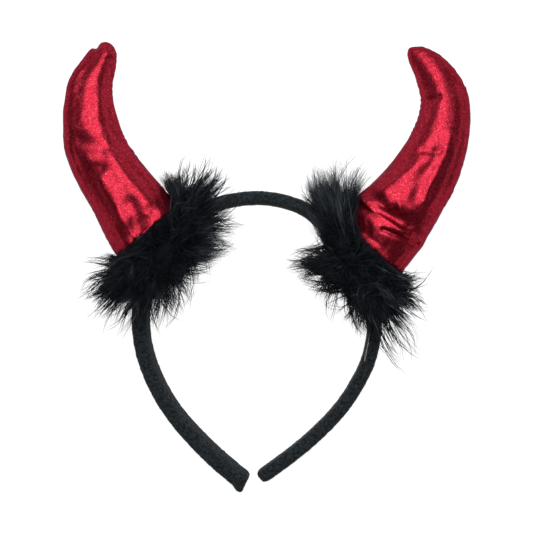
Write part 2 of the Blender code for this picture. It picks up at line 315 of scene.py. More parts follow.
def lay_cloth_map(piece: bpy.types.Object, line: CentreLine, girth: float) -> None:
    """Give a piece a map whose first direction goes round it and whose second goes along it.

    Args:
        piece: The object to map.
        line: The piece's centre line.
        girth: The length in millimetres that once round the piece counts as.
    """
    along, around, _ = line.locate(points_of(piece))
    mesh = piece.data
    corners = np.empty(len(mesh.loops), np.int32)
    mesh.loops.foreach_get("vertex_index", corners)
    starts = np.empty(len(mesh.polygons), np.int32)
    mesh.polygons.foreach_get("loop_start", starts)
    counts = np.empty(len(mesh.polygons), np.int32)
    mesh.polygons.foreach_get("loop_total", counts)
    turn = around[corners]
    wraps = (np.maximum.reduceat(turn, starts) - np.minimum.reduceat(turn, starts)) > math.pi
    turn = np.where(np.repeat(wraps, counts) & (turn < 0), turn + 2 * math.pi, turn)
    spots = np.stack([turn / (2 * math.pi) * girth * MM, along[corners] * MM], axis=1)
    layer = mesh.uv_layers.new(name="cloth")
    layer.data.foreach_set("uv", spots.astype(np.float32).ravel())


def ribbons(name: str, lines: np.ndarray, widths: np.ndarray, facing: np.ndarray,
            tones: np.ndarray) -> bpy.types.Object:
    """Join many fine tapered ribbons into one piece.

    Args:
        name: The name of the piece.
        lines: The middle of each ribbon, as an array of ribbons by points by 3, in metres.
        widths: Each ribbon's width at its root, in metres.
        facing: A direction for each ribbon that its width is set square to.
        tones: A lightness for each ribbon, from 0 to 1, kept as the attribute tone.

    Returns:
        The joined object.
    """
    count, steps, _ = lines.shape
    ways = unit(np.gradient(lines, axis=1))
    sides = unit(np.cross(ways, facing[:, None, :]))
    taper = (1.0 - (np.arange(steps) / (steps - 1)) ** RIBBON_TAPER)[None, :, None]
    offset = sides * widths[:, None, None] * 0.5 * taper
    pairs = np.stack([lines - offset, lines + offset], axis=2)[:, :-1].reshape(count, -1, 3)
    points = np.concatenate([pairs, lines[:, -1:]], axis=1)
    per = points.shape[1]
    quads = [(2 * s, 2 * s + 1, 2 * s + 3, 2 * s + 2) for s in range(steps - 2)]
    tip = (per - 3, per - 2, per - 1)
    pattern = np.array([corner for quad in quads for corner in quad] + list(tip))
    corners = (np.arange(count)[:, None] * per + pattern[None, :]).ravel()
    sizes = np.array([4] * len(quads) + [3])
    starts = np.concatenate([[0], np.cumsum(np.tile(sizes, count))[:-1]])
    mesh = bpy.data.meshes.new(name)
    mesh.vertices.add(count * per)
    mesh.vertices.foreach_set("co", points.astype(np.float32).ravel())
    mesh.loops.add(len(corners))
    mesh.loops.foreach_set("vertex_index", corners.astype(np.int32))
    mesh.polygons.add(len(starts))
    mesh.polygons.foreach_set("loop_start", starts.astype(np.int32))
    mesh.update(calc_edges=True)
    mesh.shade_smooth()
    layer = mesh.attributes.new("tone", "FLOAT", "POINT")
    layer.data.foreach_set("value", np.repeat(tones, per).astype(np.float32))
    reach = np.append(np.repeat(np.arange(steps - 1) / (steps - 1), 2), 1.0)
    ends = mesh.attributes.new("tip", "FLOAT", "POINT")
    ends.data.foreach_set("value", np.tile(reach, count).astype(np.float32))
    piece = bpy.data.objects.new(name, mesh)
    bpy.context.scene.collection.objects.link(piece)
    return piece


def hand_over(piece: bpy.types.Object, slot: str, *nodes: str) -> None:
    """Let a finished piece ride on the object, hide the frame nodes that it replaces and log its face
    count.

    Args:
        piece: The finished object.
        slot: A material slot's name; not used.
        nodes: The frame nodes that the piece replaces.
    """
    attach(piece, BODY)
    if nodes:
        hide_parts(*nodes)
    log.info("%s: %d faces", piece.name, len(piece.data.polygons))


# Finishes


class NodeSheet:
    """A material's node tree, with short ways to add and join nodes."""

    def __init__(self, name: str) -> None:
        """Start an empty material with one Principled shader."""
        self.material = bpy.data.materials.new(name)
        self.material.use_nodes = True
        self.tree = self.material.node_tree
        self.shader = self.tree.nodes["Principled BSDF"]

    def node(self, kind: str, inputs: dict | None = None, **settings) -> bpy.types.Node:
        """Add a node.

        Args:
            kind: The node's type.
            inputs: Values for its sockets, or output sockets to join to them.
            settings: Properties of the node.

        Returns:
            The new node.
        """
        made = self.tree.nodes.new(kind)
        for key, value in settings.items():
            setattr(made, key, value)
        for key, value in (inputs or {}).items():
            if isinstance(value, bpy.types.NodeSocket):
                self.tree.links.new(value, made.inputs[key])
            else:
                made.inputs[key].default_value = value
        return made

    def place(self) -> bpy.types.NodeSocket:
        """The place on the object, in metres."""
        return self.node("ShaderNodeTexCoord").outputs["Object"]

    def cloth(self) -> bpy.types.NodeSocket:
        """The place on the cloth, in metres round and along it."""
        return self.node("ShaderNodeUVMap", uv_map="cloth").outputs["UV"]

    def noise(self, where: bpy.types.NodeSocket, size: float, detail: float = 2.0,
              distortion: float = 0.0) -> bpy.types.NodeSocket:
        """Noise whose grains are about as large as the size given, in millimetres."""
        inputs = {"Vector": where, "Scale": 1.0 / (size * MM), "Detail": detail,
                  "Distortion": distortion}
        return self.node("ShaderNodeTexNoise", inputs).outputs["Fac"]

    def relief(self, height: bpy.types.NodeSocket, depth: float,
               under: bpy.types.NodeSocket | None = None) -> bpy.types.NodeSocket:
        """Relief of a depth in millimetres, on top of another relief."""
        inputs = {"Height": height, "Distance": depth * MM, "Strength": 1.0}
        if under is not None:
            inputs["Normal"] = under
        return self.node("ShaderNodeBump", inputs).outputs["Normal"]

    def blend(self, share: bpy.types.NodeSocket, low: Colour, high: Colour,
              start: float = 0.35, end: float = 0.65) -> bpy.types.NodeSocket:
        """A colour that goes from low to high as the share goes from start to end."""
        ramp = self.node("ShaderNodeValToRGB", {"Fac": share})
        ramp.color_ramp.elements[0].position = start
        ramp.color_ramp.elements[0].color = (*low, 1.0)
        ramp.color_ramp.elements[1].position = end
        ramp.color_ramp.elements[1].color = (*high, 1.0)
        return ramp.outputs["Color"]

    def finish(self, colour: bpy.types.NodeSocket, normal: bpy.types.NodeSocket | None,
               **constants: float) -> bpy.types.Material:
        """Join the colour and relief to the shader and set its constants.

        Args:
            colour: The colour's socket.
            normal: The relief's socket, if there is one.
            constants: Values of the shader's own sockets, with underscores for spaces.

        Returns:
            The material.
        """
        self.tree.links.new(colour, self.shader.inputs["Base Color"])
        if normal is not None:
            self.tree.links.new(normal, self.shader.inputs["Normal"])
        for key, value in constants.items():
            self.shader.inputs[key.replace("_", " ")].default_value = value
        return self.material


@dataclass(frozen=True)
class FoilCloth:
    """Red foil-faced knit, crumpled a little and full of fine sparkle, from a fine relief and from painted
    glints: lighter pink specks mixed into its colour.
    """

    deep: Colour = (0.19, 0.0060, 0.0140)
    bright: Colour = (0.34, 0.0135, 0.0290)
    # Painted glints: the lighter pink that the specks turn the colour to, standing in for the foil's
    # sparkle.
    painted_glint: Colour = (0.46, 0.062, 0.096)
    edge: tuple[float, float, float, float] = (0.32, 0.40, 0.43, 1.0)
    roughness: float = 0.37
    # The size in millimetres of the specks that make both the fine relief and the painted glints.
    grain: float = 0.62
    crumple: float = 3.4
    crumple_depth: float = 0.06
    mottle: float = 1.5
    row_pitch: float = 4.0
    row_depth: float = 0.008
    sparkle_depth: float = 0.055
    metal: float = 0.92

    def material(self) -> bpy.types.Material:
        """Build the material."""
        sheet = NodeSheet("red_foil_cloth")
        where = sheet.place()
        base = sheet.blend(sheet.noise(where, self.mottle, 5.0, 0.4), self.deep, self.bright,
                           0.32, 0.68)
        # The specks raise a fine relief and also paint glints: where they peak, the colour turns to the
        # painted glint pink.
        specks = sheet.noise(where, self.grain, 1.0)
        share = sheet.blend(specks, (0.0, 0.0, 0.0), (1.0, 1.0, 1.0), 0.58, 0.74)
        glint_mix = sheet.node("ShaderNodeMix", {"Factor": share}, data_type="RGBA")
        sheet.tree.links.new(base, glint_mix.inputs["A"])
        glint_mix.inputs["B"].default_value = (*self.painted_glint, 1.0)
        colour = glint_mix.outputs["Result"]
        folds = sheet.relief(sheet.noise(where, self.crumple, 3.0, 0.8), self.crumple_depth)
        knit = sheet.node("ShaderNodeTexWave", {"Vector": sheet.cloth(), "Scale": 1 / (self.row_pitch * MM),
                                                "Distortion": 1.0, "Detail": 1.0},
                          bands_direction="Y").outputs["Fac"]
        rows = sheet.relief(knit, self.row_depth, folds)
        sparkle = sheet.relief(specks, self.sparkle_depth, rows)
        return sheet.finish(colour, sparkle, Metallic=self.metal, Roughness=self.roughness,
                            Specular_Tint=self.edge)


@dataclass(frozen=True)
class KnitFelt:
    """The band's matte black napped knit."""

    dark: Colour = (0.0014, 0.0025, 0.0040)
    light: Colour = (0.0165, 0.0222, 0.0262)
    mottle: float = 1.2
    row_pitch: float = 6.0
    row_depth: float = 0.10
    nap: float = 0.7
    nap_depth: float = 0.22

    def material(self) -> bpy.types.Material:
        """Build the material."""
        sheet = NodeSheet("black_band_felt")
        where = sheet.place()
        colour = sheet.blend(sheet.noise(where, self.mottle, 6.0, 0.5), self.dark, self.light,
                             0.37, 0.64)
        knit = sheet.node("ShaderNodeTexWave", {"Vector": sheet.cloth(), "Scale": 1 / (self.row_pitch * MM),
                                                "Distortion": 2.0, "Detail": 2.0},
                          bands_direction="DIAGONAL").outputs["Fac"]
        rows = sheet.relief(knit, self.row_depth)
        nap = sheet.relief(sheet.noise(where, self.nap, 4.0), self.nap_depth, rows)
        return sheet.finish(colour, nap, Roughness=0.95, Specular_IOR_Level=0.15,
                            Sheen_Weight=0.05, Sheen_Roughness=0.6)


@dataclass(frozen=True)
class DarkFelt:
    """The thick black felt of the discs under the horns."""

    dark: Colour = (0.008, 0.010, 0.009)
    light: Colour = (0.026, 0.029, 0.024)
    mottle: float = 0.9
    nap: float = 0.5
    nap_depth: float = 0.2

    def material(self) -> bpy.types.Material:
        """Build the material."""
        sheet = NodeSheet("black_disc_felt")
        where = sheet.place()
        colour = sheet.blend(sheet.noise(where, self.mottle, 4.0, 0.8), self.dark, self.light)
        nap = sheet.relief(sheet.noise(where, self.nap, 4.0), self.nap_depth)
        return sheet.finish(colour, nap, Roughness=0.92, Specular_IOR_Level=0.2)


@dataclass(frozen=True)
class BlackDown:
    """Dyed black feather down, with greyer strands among the black ones: partly the down's random tone and
    partly painted sheen, lighter strands standing in for lit ones.
    """

    dark: Colour = (0.0013, 0.0028, 0.0054)
    # The lightest strands' colour: partly random tone, partly painted sheen.
    light: Colour = (0.066, 0.077, 0.090)

    def material(self) -> bpy.types.Material:
        """Build the material."""
        sheet = NodeSheet("black_feather_down")
        # Partly painted sheen: the lighter a barb's tone, the nearer its colour is to the light one.
        tone = sheet.node("ShaderNodeAttribute", attribute_name="tone").outputs["Fac"]
        colour = sheet.blend(tone, self.dark, self.light, 0.0, 1.0)
        return sheet.finish(colour, None, Roughness=0.6, Specular_IOR_Level=0.12)


@dataclass(frozen=True)
class PlainCover:
    """A plain matte surface with a little variation, for the loose threads."""

    name: str
    dark: Colour
    light: Colour
    grain: float

    def material(self) -> bpy.types.Material:
        """Build the material."""
        sheet = NodeSheet(self.name)
        where = sheet.place()
        colour = sheet.blend(sheet.noise(where, self.grain, 3.0), self.dark, self.light)
        nap = sheet.relief(sheet.noise(where, self.grain / 2, 3.0), self.grain / 6)
        return sheet.finish(colour, nap, Roughness=0.9, Specular_IOR_Level=0.1)


# Horns


@dataclass(frozen=True)
class Fold:
    """A fold on the front of a horn, raised or sunk along a line.

    Attributes:
        path: The fold's line, as pairs of x and y in millimetres.
        rise: How far the cloth rises on the line, or sinks where it is negative.
        reach: How far the rise spreads to each side.
    """

    path: tuple[Pair, ...]
    rise: float
    reach: float

    def lift(self, place: np.ndarray) -> np.ndarray:
        """How far the fold lifts each place.

        Args:
            place: Places on the floor plan, in millimetres.

        Returns:
            The lift along the surface's normal, in millimetres.
        """
        line = smooth_curve(np.array(self.path, float), 5)
        nearest = np.full(len(place), np.inf)
        for start, end in zip(line, line[1:]):
            way = end - start
            share = np.clip(((place - start) @ way) / (way @ way), 0.0, 1.0)
            gap = np.linalg.norm(place - start - share[:, None] * way, axis=1)
            nearest = np.minimum(nearest, gap)
        return self.rise * np.exp(-(nearest / self.reach) ** 2)


@dataclass(frozen=True)
class Nudge:
    """A soft push of the horn's outline: its place, its move and its reach, in millimetres."""

    x: float
    y: float
    move_x: float
    move_y: float
    reach: float

    def shift(self, place: np.ndarray) -> np.ndarray:
        """How far the nudge moves each place on the floor plan."""
        away = np.hypot(place[:, 0] - self.x, place[:, 1] - self.y)
        return np.exp(-(away / self.reach) ** 2)[:, None] * (self.move_x, self.move_y)


@dataclass
class StuffedHorn:
    """A stuffed horn of foil cloth, sewn from a front and a back panel.

    Attributes:
        side: Which horn it is.
        foot: The middle of its foot on the floor plan.
        turn: How far its own frame is turned, in degrees.
        rows: Its sections: across, along, middle height, width and depth, in its own frame.
        folds: The folds on its front.
        nudges: The pushes on its outline.
        fill: How tightly it is stuffed, from 0 to 1; not used.
    """

    side: Side
    foot: Pair
    turn: float
    rows: list[tuple[float, float, float, float, float]]
    folds: list[Fold]
    nudges: list[Nudge]
    fill: float = 0.8
    voxel: float = 1.9
    pressure: float = 4.0
    swell_frames: int = 20
    swell_cap: float = 1.3
    cloth_mass: float = 0.1
    cloth_shrink: float = -0.015
    foot_held: Pair = (0.5, 5.0)
    seam_depth: float = 0.38
    seam_reach: float = 0.75
    pucker_depth: float = 0.16
    pucker_pitch: float = 4.3
    pucker_reach: float = 3.0
    pucker_wander: float = 3.0
    pucker_patch: float = 18.0
    ripples: tuple[Row, ...] = ((0.06, 10.0, 7), (0.02, 4.0, 8))
    hem_fold: float = 1.5
    hem_stand: float = 0.8
    hem_reach: Pair = (0.2, 3.6)
    girth: float = 95.0

    @property
    def name(self) -> str:
        """The frame node that the horn stands for."""
        return "horn_" + self.side.value

    def centre_line(self) -> CentreLine:
        """The horn's centre line in the object's frame."""
        rows = smooth_curve(np.array(self.rows, float), 8)
        angle = math.radians(self.turn)
        x = self.foot[0] + rows[:, 0] * math.cos(angle) - rows[:, 1] * math.sin(angle)
        y = self.foot[1] + rows[:, 0] * math.sin(angle) + rows[:, 1] * math.cos(angle)
        return CentreLine(np.stack([x, y, rows[:, 2]], axis=1), rows[:, 3:5])

    def foot_distance(self, co: np.ndarray) -> np.ndarray:
        """How far points are from the plane of the horn's foot, in millimetres."""
        angle = math.radians(self.turn)
        axis = np.array([-math.sin(angle), math.cos(angle)])
        return (co[:, :2] / MM - np.array(self.foot)) @ axis

    def foot_place(self, across: np.ndarray, past: np.ndarray, height: np.ndarray) -> np.ndarray:
        """Turn places by the horn's foot into places on the object.

        Args:
            across: How far each place is from the foot's middle, along the foot.
            past: How far it is from the foot's plane, towards the tip.
            height: How high it is.

        Returns:
            The places, in millimetres.
        """
        angle = math.radians(self.turn)
        x = self.foot[0] + across * math.cos(angle) - past * math.sin(angle)
        y = self.foot[1] + across * math.sin(angle) + past * math.cos(angle)
        return np.stack([x, y, height], axis=-1)

    def foot_across(self, co: np.ndarray) -> np.ndarray:
        """How far along the foot points are from its middle, in millimetres."""
        angle = math.radians(self.turn)
        return (co[:, :2] / MM - np.array(self.foot)) @ np.array([math.cos(angle), math.sin(angle)])

    def swell(self, piece: bpy.types.Object) -> None:
        """Fill the cloth by simulation, with its foot held and its swelling capped.

        Args:
            piece: The horn's evenly meshed shape, which swells.
        """
        rest = points_of(piece)
        held = piece.vertex_groups.new(name="held")
        hold = 1.0 - ease(self.foot_distance(rest), *self.foot_held)
        for index in np.nonzero(hold > 0.0)[0]:
            held.add([int(index)], float(hold[index]), "REPLACE")
        cloth = piece.modifiers.new("swell", "CLOTH")
        cloth.settings.quality = 6
        cloth.settings.mass = self.cloth_mass
        cloth.settings.use_pressure = True
        cloth.settings.uniform_pressure_force = self.pressure
        cloth.settings.shrink_min = self.cloth_shrink
        cloth.settings.effector_weights.gravity = 0.0
        cloth.settings.vertex_group_mass = held.name
        cloth.collision_settings.use_collision = False
        scene = bpy.context.scene
        for step in range(1, self.swell_frames + 1):
            scene.frame_set(step)
        apply_all(piece)
        scene.frame_set(1)
        piece.vertex_groups.clear()
        moved = points_of(piece) - rest
        far = np.linalg.norm(moved, axis=1, keepdims=True) / MM
        co = rest + moved * np.minimum(1.0, self.swell_cap / np.maximum(far, 1e-9))
        co[:, 2] = np.maximum(co[:, 2], 0.0)
        put_points(piece, co)

    def crumple(self, piece: bpy.types.Object) -> None:
        """Work the folds, the small creases and the seams into the swollen cloth.

        Args:
            piece: The horn, already fine enough to carry a seam.
        """
        line = self.centre_line()
        co = points_of(piece)
        along, around, radius = line.locate(co)
        front = ease(np.sin(around), 0.05, 0.5)
        away_from_foot = ease(self.foot_distance(co), 0.3, 1.2)
        lift = np.zeros(len(co))
        for fold in self.folds:
            lift += fold.lift(co[:, :2] / MM) * front
        seam = np.minimum(np.abs(around), math.pi - np.abs(around)) * radius
        wander = self.pucker_wander * ripple(co, 14.0, 5)
        gather = np.sin(2 * math.pi * along / self.pucker_pitch + wander)
        strength = np.clip(0.4 + 0.9 * ripple(co, self.pucker_patch, 6), 0.0, 1.3)
        lift += self.pucker_depth * gather * strength * np.exp(-(seam / self.pucker_reach) ** 2)
        lift -= self.seam_depth * np.exp(-(seam / self.seam_reach) ** 2) * away_from_foot
        lift += sum(depth * ripple(co, length, seed) for depth, length, seed in self.ripples)
        co = co + normals_of(piece) * (lift * ease(self.foot_distance(co), -0.2, 0.8))[:, None] * MM
        for nudge in self.nudges:
            co[:, :2] += nudge.shift(co[:, :2] / MM) * MM
        co += self.hem(co) * MM
        co[:, 2] = np.maximum(co[:, 2], 0.0)
        put_points(piece, co)

    def hem(self, co: np.ndarray) -> np.ndarray:
        """How far the cloth's hem is drawn over the disc at the horn's foot, in millimetres."""
        angle = math.radians(self.turn)
        axis = np.array([-math.sin(angle), math.cos(angle), 0.0])
        outward = co / MM - np.array([*self.foot, self.rows[0][2]])
        outward -= (outward @ axis)[:, None] * axis
        share = 1.0 - ease(self.foot_distance(co), *self.hem_reach)
        return (unit(outward) * self.hem_stand - axis * self.hem_fold) * share[:, None]

    def build(self, cloth: bpy.types.Material) -> bpy.types.Object:
        """Make the horn and dress it.

        Args:
            cloth: The foil cloth.

        Returns:
            The finished horn.
        """
        piece = copy_of_node(self.name, self.name + "_cloth")
        even_out(piece, self.voxel)
        self.swell(piece)
        subdivide(piece, 2)
        self.crumple(piece)
        lay_cloth_map(piece, self.centre_line(), self.girth)
        piece.data.materials.append(cloth)
        piece.data.shade_smooth()
        hand_over(piece, "horn_cloth", self.name)
        return piece


# Bases


@dataclass
class HornBase:
    """The felt disc that closes a horn's foot, with the neck under it."""

    side: Side
    voxel: float = 0.9
    ripples: tuple[Row, ...] = ((0.10, 2.4, 31), (0.05, 1.1, 32))

    @property
    def name(self) -> str:
        """The frame node that the base stands for."""
        return "horn_" + self.side.value + "_base"

    def build(self, felt: bpy.types.Material) -> bpy.types.Object:
        """Make the base and dress it.

        Args:
            felt: The disc's felt.

        Returns:
            The finished base.
        """
        piece = copy_of_node(self.name, self.name + "_felt")
        even_out(piece, self.voxel)
        soften(piece, 2, 0.4)
        subdivide(piece, 1)
        co = points_of(piece)
        rough = sum(depth * ripple(co, length, seed) for depth, length, seed in self.ripples)
        co = co + normals_of(piece) * rough[:, None] * MM
        co[:, 2] = np.maximum(co[:, 2], 0.0)
        put_points(piece, co)
        piece.data.materials.append(felt)
        piece.data.shade_smooth()
        hand_over(piece, "base_felt", self.name)
        return piece


# Band


@dataclass
class Band:
    """The felt-covered band, its fuzz and its loose threads.

    Attributes:
        rows: The places along its middle line.
        pushes: How far its cover is pushed out at the inner and the outer edge, as rows of the
            distance along the line, the inner push and the outer push.
        nudges: The pushes on the cover's ends.
    """

    rows: list[Row]
    pushes: list[Row]
    nudges: list[Nudge]
    width: float = 10.0
    thickness: float = 6.7
    voxel: float = 1.0
    girth: float = 31.0
    edge_bump: float = 0.07
    nap: float = 0.06
    seam_depth: float = 0.35
    seam_width: float = 0.5
    lip_rise: float = 0.16
    lip_place: float = 1.1
    lip_width: float = 0.6
    thread_width: float = 0.11
    above: float = 60.0
    fuzz_count: int = 9000
    fuzz_length: float = 0.75
    fuzz_width: float = 0.06
    fuzz_scatter: float = 0.8
    fuzz_bend: float = 0.4
    seed: int = 41

    def centre_line(self) -> CentreLine:
        """The band's centre line."""
        middles = smooth_curve(np.array(self.rows, float), 6)
        return CentreLine(middles, np.tile((self.thickness, self.width), (len(middles), 1)))

    def build(self, felt: bpy.types.Material, thread: bpy.types.Material,
              threads: list[tuple]) -> list[bpy.types.Object]:
        """Make the band, its fuzz and its threads.

        Args:
            felt: The band's napped knit.
            thread: The loose threads' finish.
            threads: The loose threads, as lists of points.

        Returns:
            The finished pieces.
        """
        piece = copy_of_node("band", "band_felt_cover")
        even_out(piece, self.voxel)
        subdivide(piece, 1)
        co = points_of(piece)
        line = self.centre_line()
        along, around, _ = line.locate(co)
        _, side = line.ways(line.nearest(co))
        stations, inner, outer = np.array(self.pushes, float).T
        turn = np.cos(around)
        reach = np.where(turn > 0, np.interp(along, stations, inner), np.interp(along, stations, outer))
        co += side * (turn * reach)[:, None] * MM
        for nudge in self.nudges:
            co[:, :2] += nudge.shift(co[:, :2] / MM) * MM
        rough = self.edge_bump * ripple(co, 2.6, 21) + self.nap * ripple(co, 1.4, 22)
        seam_turn = np.abs(np.abs(around) - math.pi) * self.thickness / 2
        rough -= self.seam_depth * np.exp(-(seam_turn / self.seam_width) ** 2)
        rough += self.lip_rise * np.exp(-((seam_turn - self.lip_place) / self.lip_width) ** 2)
        co = co + normals_of(piece) * rough[:, None] * MM
        co[:, 2] = np.maximum(co[:, 2], 0.0)
        put_points(piece, co)
        lay_cloth_map(piece, self.centre_line(), self.girth)
        piece.data.materials.append(felt)
        piece.data.shade_smooth()
        hand_over(piece, "band_felt", "band")
        return [piece, self.fuzz(piece, felt), self.loose_threads(piece, thread, threads)]

    def fuzz(self, cover: bpy.types.Object, felt: bpy.types.Material) -> bpy.types.Object:
        """Fine fibres that stand out of the cover.

        Args:
            cover: The band's cover.
            felt: The band's finish.

        Returns:
            The joined fibres.
        """
        chance = np.random.default_rng(self.seed)
        roots, ways = scatter(cover, self.fuzz_count, chance)
        ways = unit(ways + self.fuzz_scatter * chance.normal(size=ways.shape))
        reach = self.fuzz_length * chance.uniform(0.3, 1.0, len(roots)) * MM
        bend = unit(chance.normal(size=ways.shape)) * self.fuzz_bend
        steps = np.linspace(0.0, 1.0, 3)[None, :, None]
        course = ways[:, None] * steps + bend[:, None] * steps ** 2
        lines = roots[:, None] + reach[:, None, None] * course
        lines[..., 2] = np.maximum(lines[..., 2], 0.05 * MM)
        widths = np.full(len(roots), self.fuzz_width * MM)
        piece = ribbons("band_fuzz", lines, widths, chance.normal(size=roots.shape),
                        chance.uniform(0.0, 1.0, len(roots)))
        layer = piece.data.uv_layers.new(name="cloth")
        layer.data.foreach_set("uv", np.zeros(len(piece.data.loops) * 2, np.float32))
        piece.data.materials.append(felt)
        hand_over(piece, "band_felt")
        return piece

    def loose_threads(self, cover: bpy.types.Object, thread: bpy.types.Material,
                      threads: list[tuple]) -> bpy.types.Object:
        """The pale threads that lie on the edge of the right leg.

        Args:
            cover: The band's cover, which they lie on.
            thread: The threads' finish.
            threads: Each thread's points.

        Returns:
            The joined threads, as one mesh.
        """
        curve = bpy.data.curves.new("band_loose_threads", "CURVE")
        curve.dimensions = "3D"
        curve.bevel_depth = self.thread_width * MM
        curve.bevel_resolution = 2
        curve.use_fill_caps = True
        tree = search_tree(cover)
        down = Vector((0.0, 0.0, -1.0))
        for points in threads:
            fine = smooth_curve(np.array(points, float), 6) * MM
            for place in fine:
                hit, _, _, _ = tree.ray_cast(Vector((place[0], place[1], self.above * MM)), down)
                if hit is not None:
                    place[2] = hit.z + self.thread_width * MM
            spline = curve.splines.new("POLY")
            spline.points.add(len(fine) - 1)
            for point, place in zip(spline.points, fine):
                point.co = (*place, 1.0)
        strand = bpy.data.objects.new("band_loose_threads", curve)
        bpy.context.scene.collection.objects.link(strand)
        select_only(strand)
        bpy.ops.object.convert(target="MESH")
        piece = bpy.context.view_layer.objects.active
        piece.data.materials.clear()
        piece.data.materials.append(thread)
        hand_over(piece, "band_felt")
        return piece


# Feather trims


def scatter(piece: bpy.types.Object, count: int,
            chance: np.random.Generator) -> tuple[np.ndarray, np.ndarray]:
    """Pick random places spread evenly over a piece.

    Args:
        piece: The object to pick from.
        count: How many places to pick.
        chance: The random source.

    Returns:
        The places in metres and the surface's normals there.
    """
    mesh = piece.data
    mesh.calc_loop_triangles()
    corners = np.empty(len(mesh.loop_triangles) * 3, np.int32)
    mesh.loop_triangles.foreach_get("vertices", corners)
    co = points_of(piece)[corners.reshape(-1, 3)]
    normals = normals_of(piece)[corners.reshape(-1, 3)]
    areas = np.linalg.norm(np.cross(co[:, 1] - co[:, 0], co[:, 2] - co[:, 0]), axis=1)
    chosen = chance.choice(len(co), count, p=areas / areas.sum())
    a = np.sqrt(chance.uniform(size=count))
    b = chance.uniform(size=count)
    shares = np.stack([1 - a, a * (1 - b), a * b], axis=1)[..., None]
    return (co[chosen] * shares).sum(1), unit((normals[chosen] * shares).sum(1))


def search_tree(piece: bpy.types.Object) -> BVHTree:
    """A search tree of a piece's surface."""
    corners = [tuple(face.vertices) for face in piece.data.polygons]
    return BVHTree.FromPolygons([v.co.copy() for v in piece.data.vertices], corners)


@dataclass(frozen=True)
class Flank:
    """Where down climbs a horn's flank from the edge of the disc at its foot.

    Attributes:
        root: How far along the foot its roots are from the foot's middle, in millimetres.
        across: Between which distances along the foot its tips are.
        past: Between which distances from the foot's plane its tips are.
        height: Between which heights its tips are.
    """

    root: float
    across: Pair
    past: Pair
    height: Pair


@dataclass(frozen=True)
class Growth:
    """How one kind of plume grows.

    Attributes:
        kind: Which kind it is.
        plumes: How many plumes grow.
        barbs: How many barbs each has.
        wide: How far the barbs' roots spread round the plume's, in millimetres.
        fan: How far the barbs' tips spread, as a share of the plume's reach.
        widest: The widest barb, in millimetres.
        least: How much of the plume's reach the shortest barb has.
        tone: How light its barbs are on average, from 0 to 1, partly as random tone and partly as painted
            sheen on lighter barbs.
    """

    kind: Down
    plumes: int
    barbs: int
    wide: float
    fan: float
    widest: float
    least: float
    tone: float


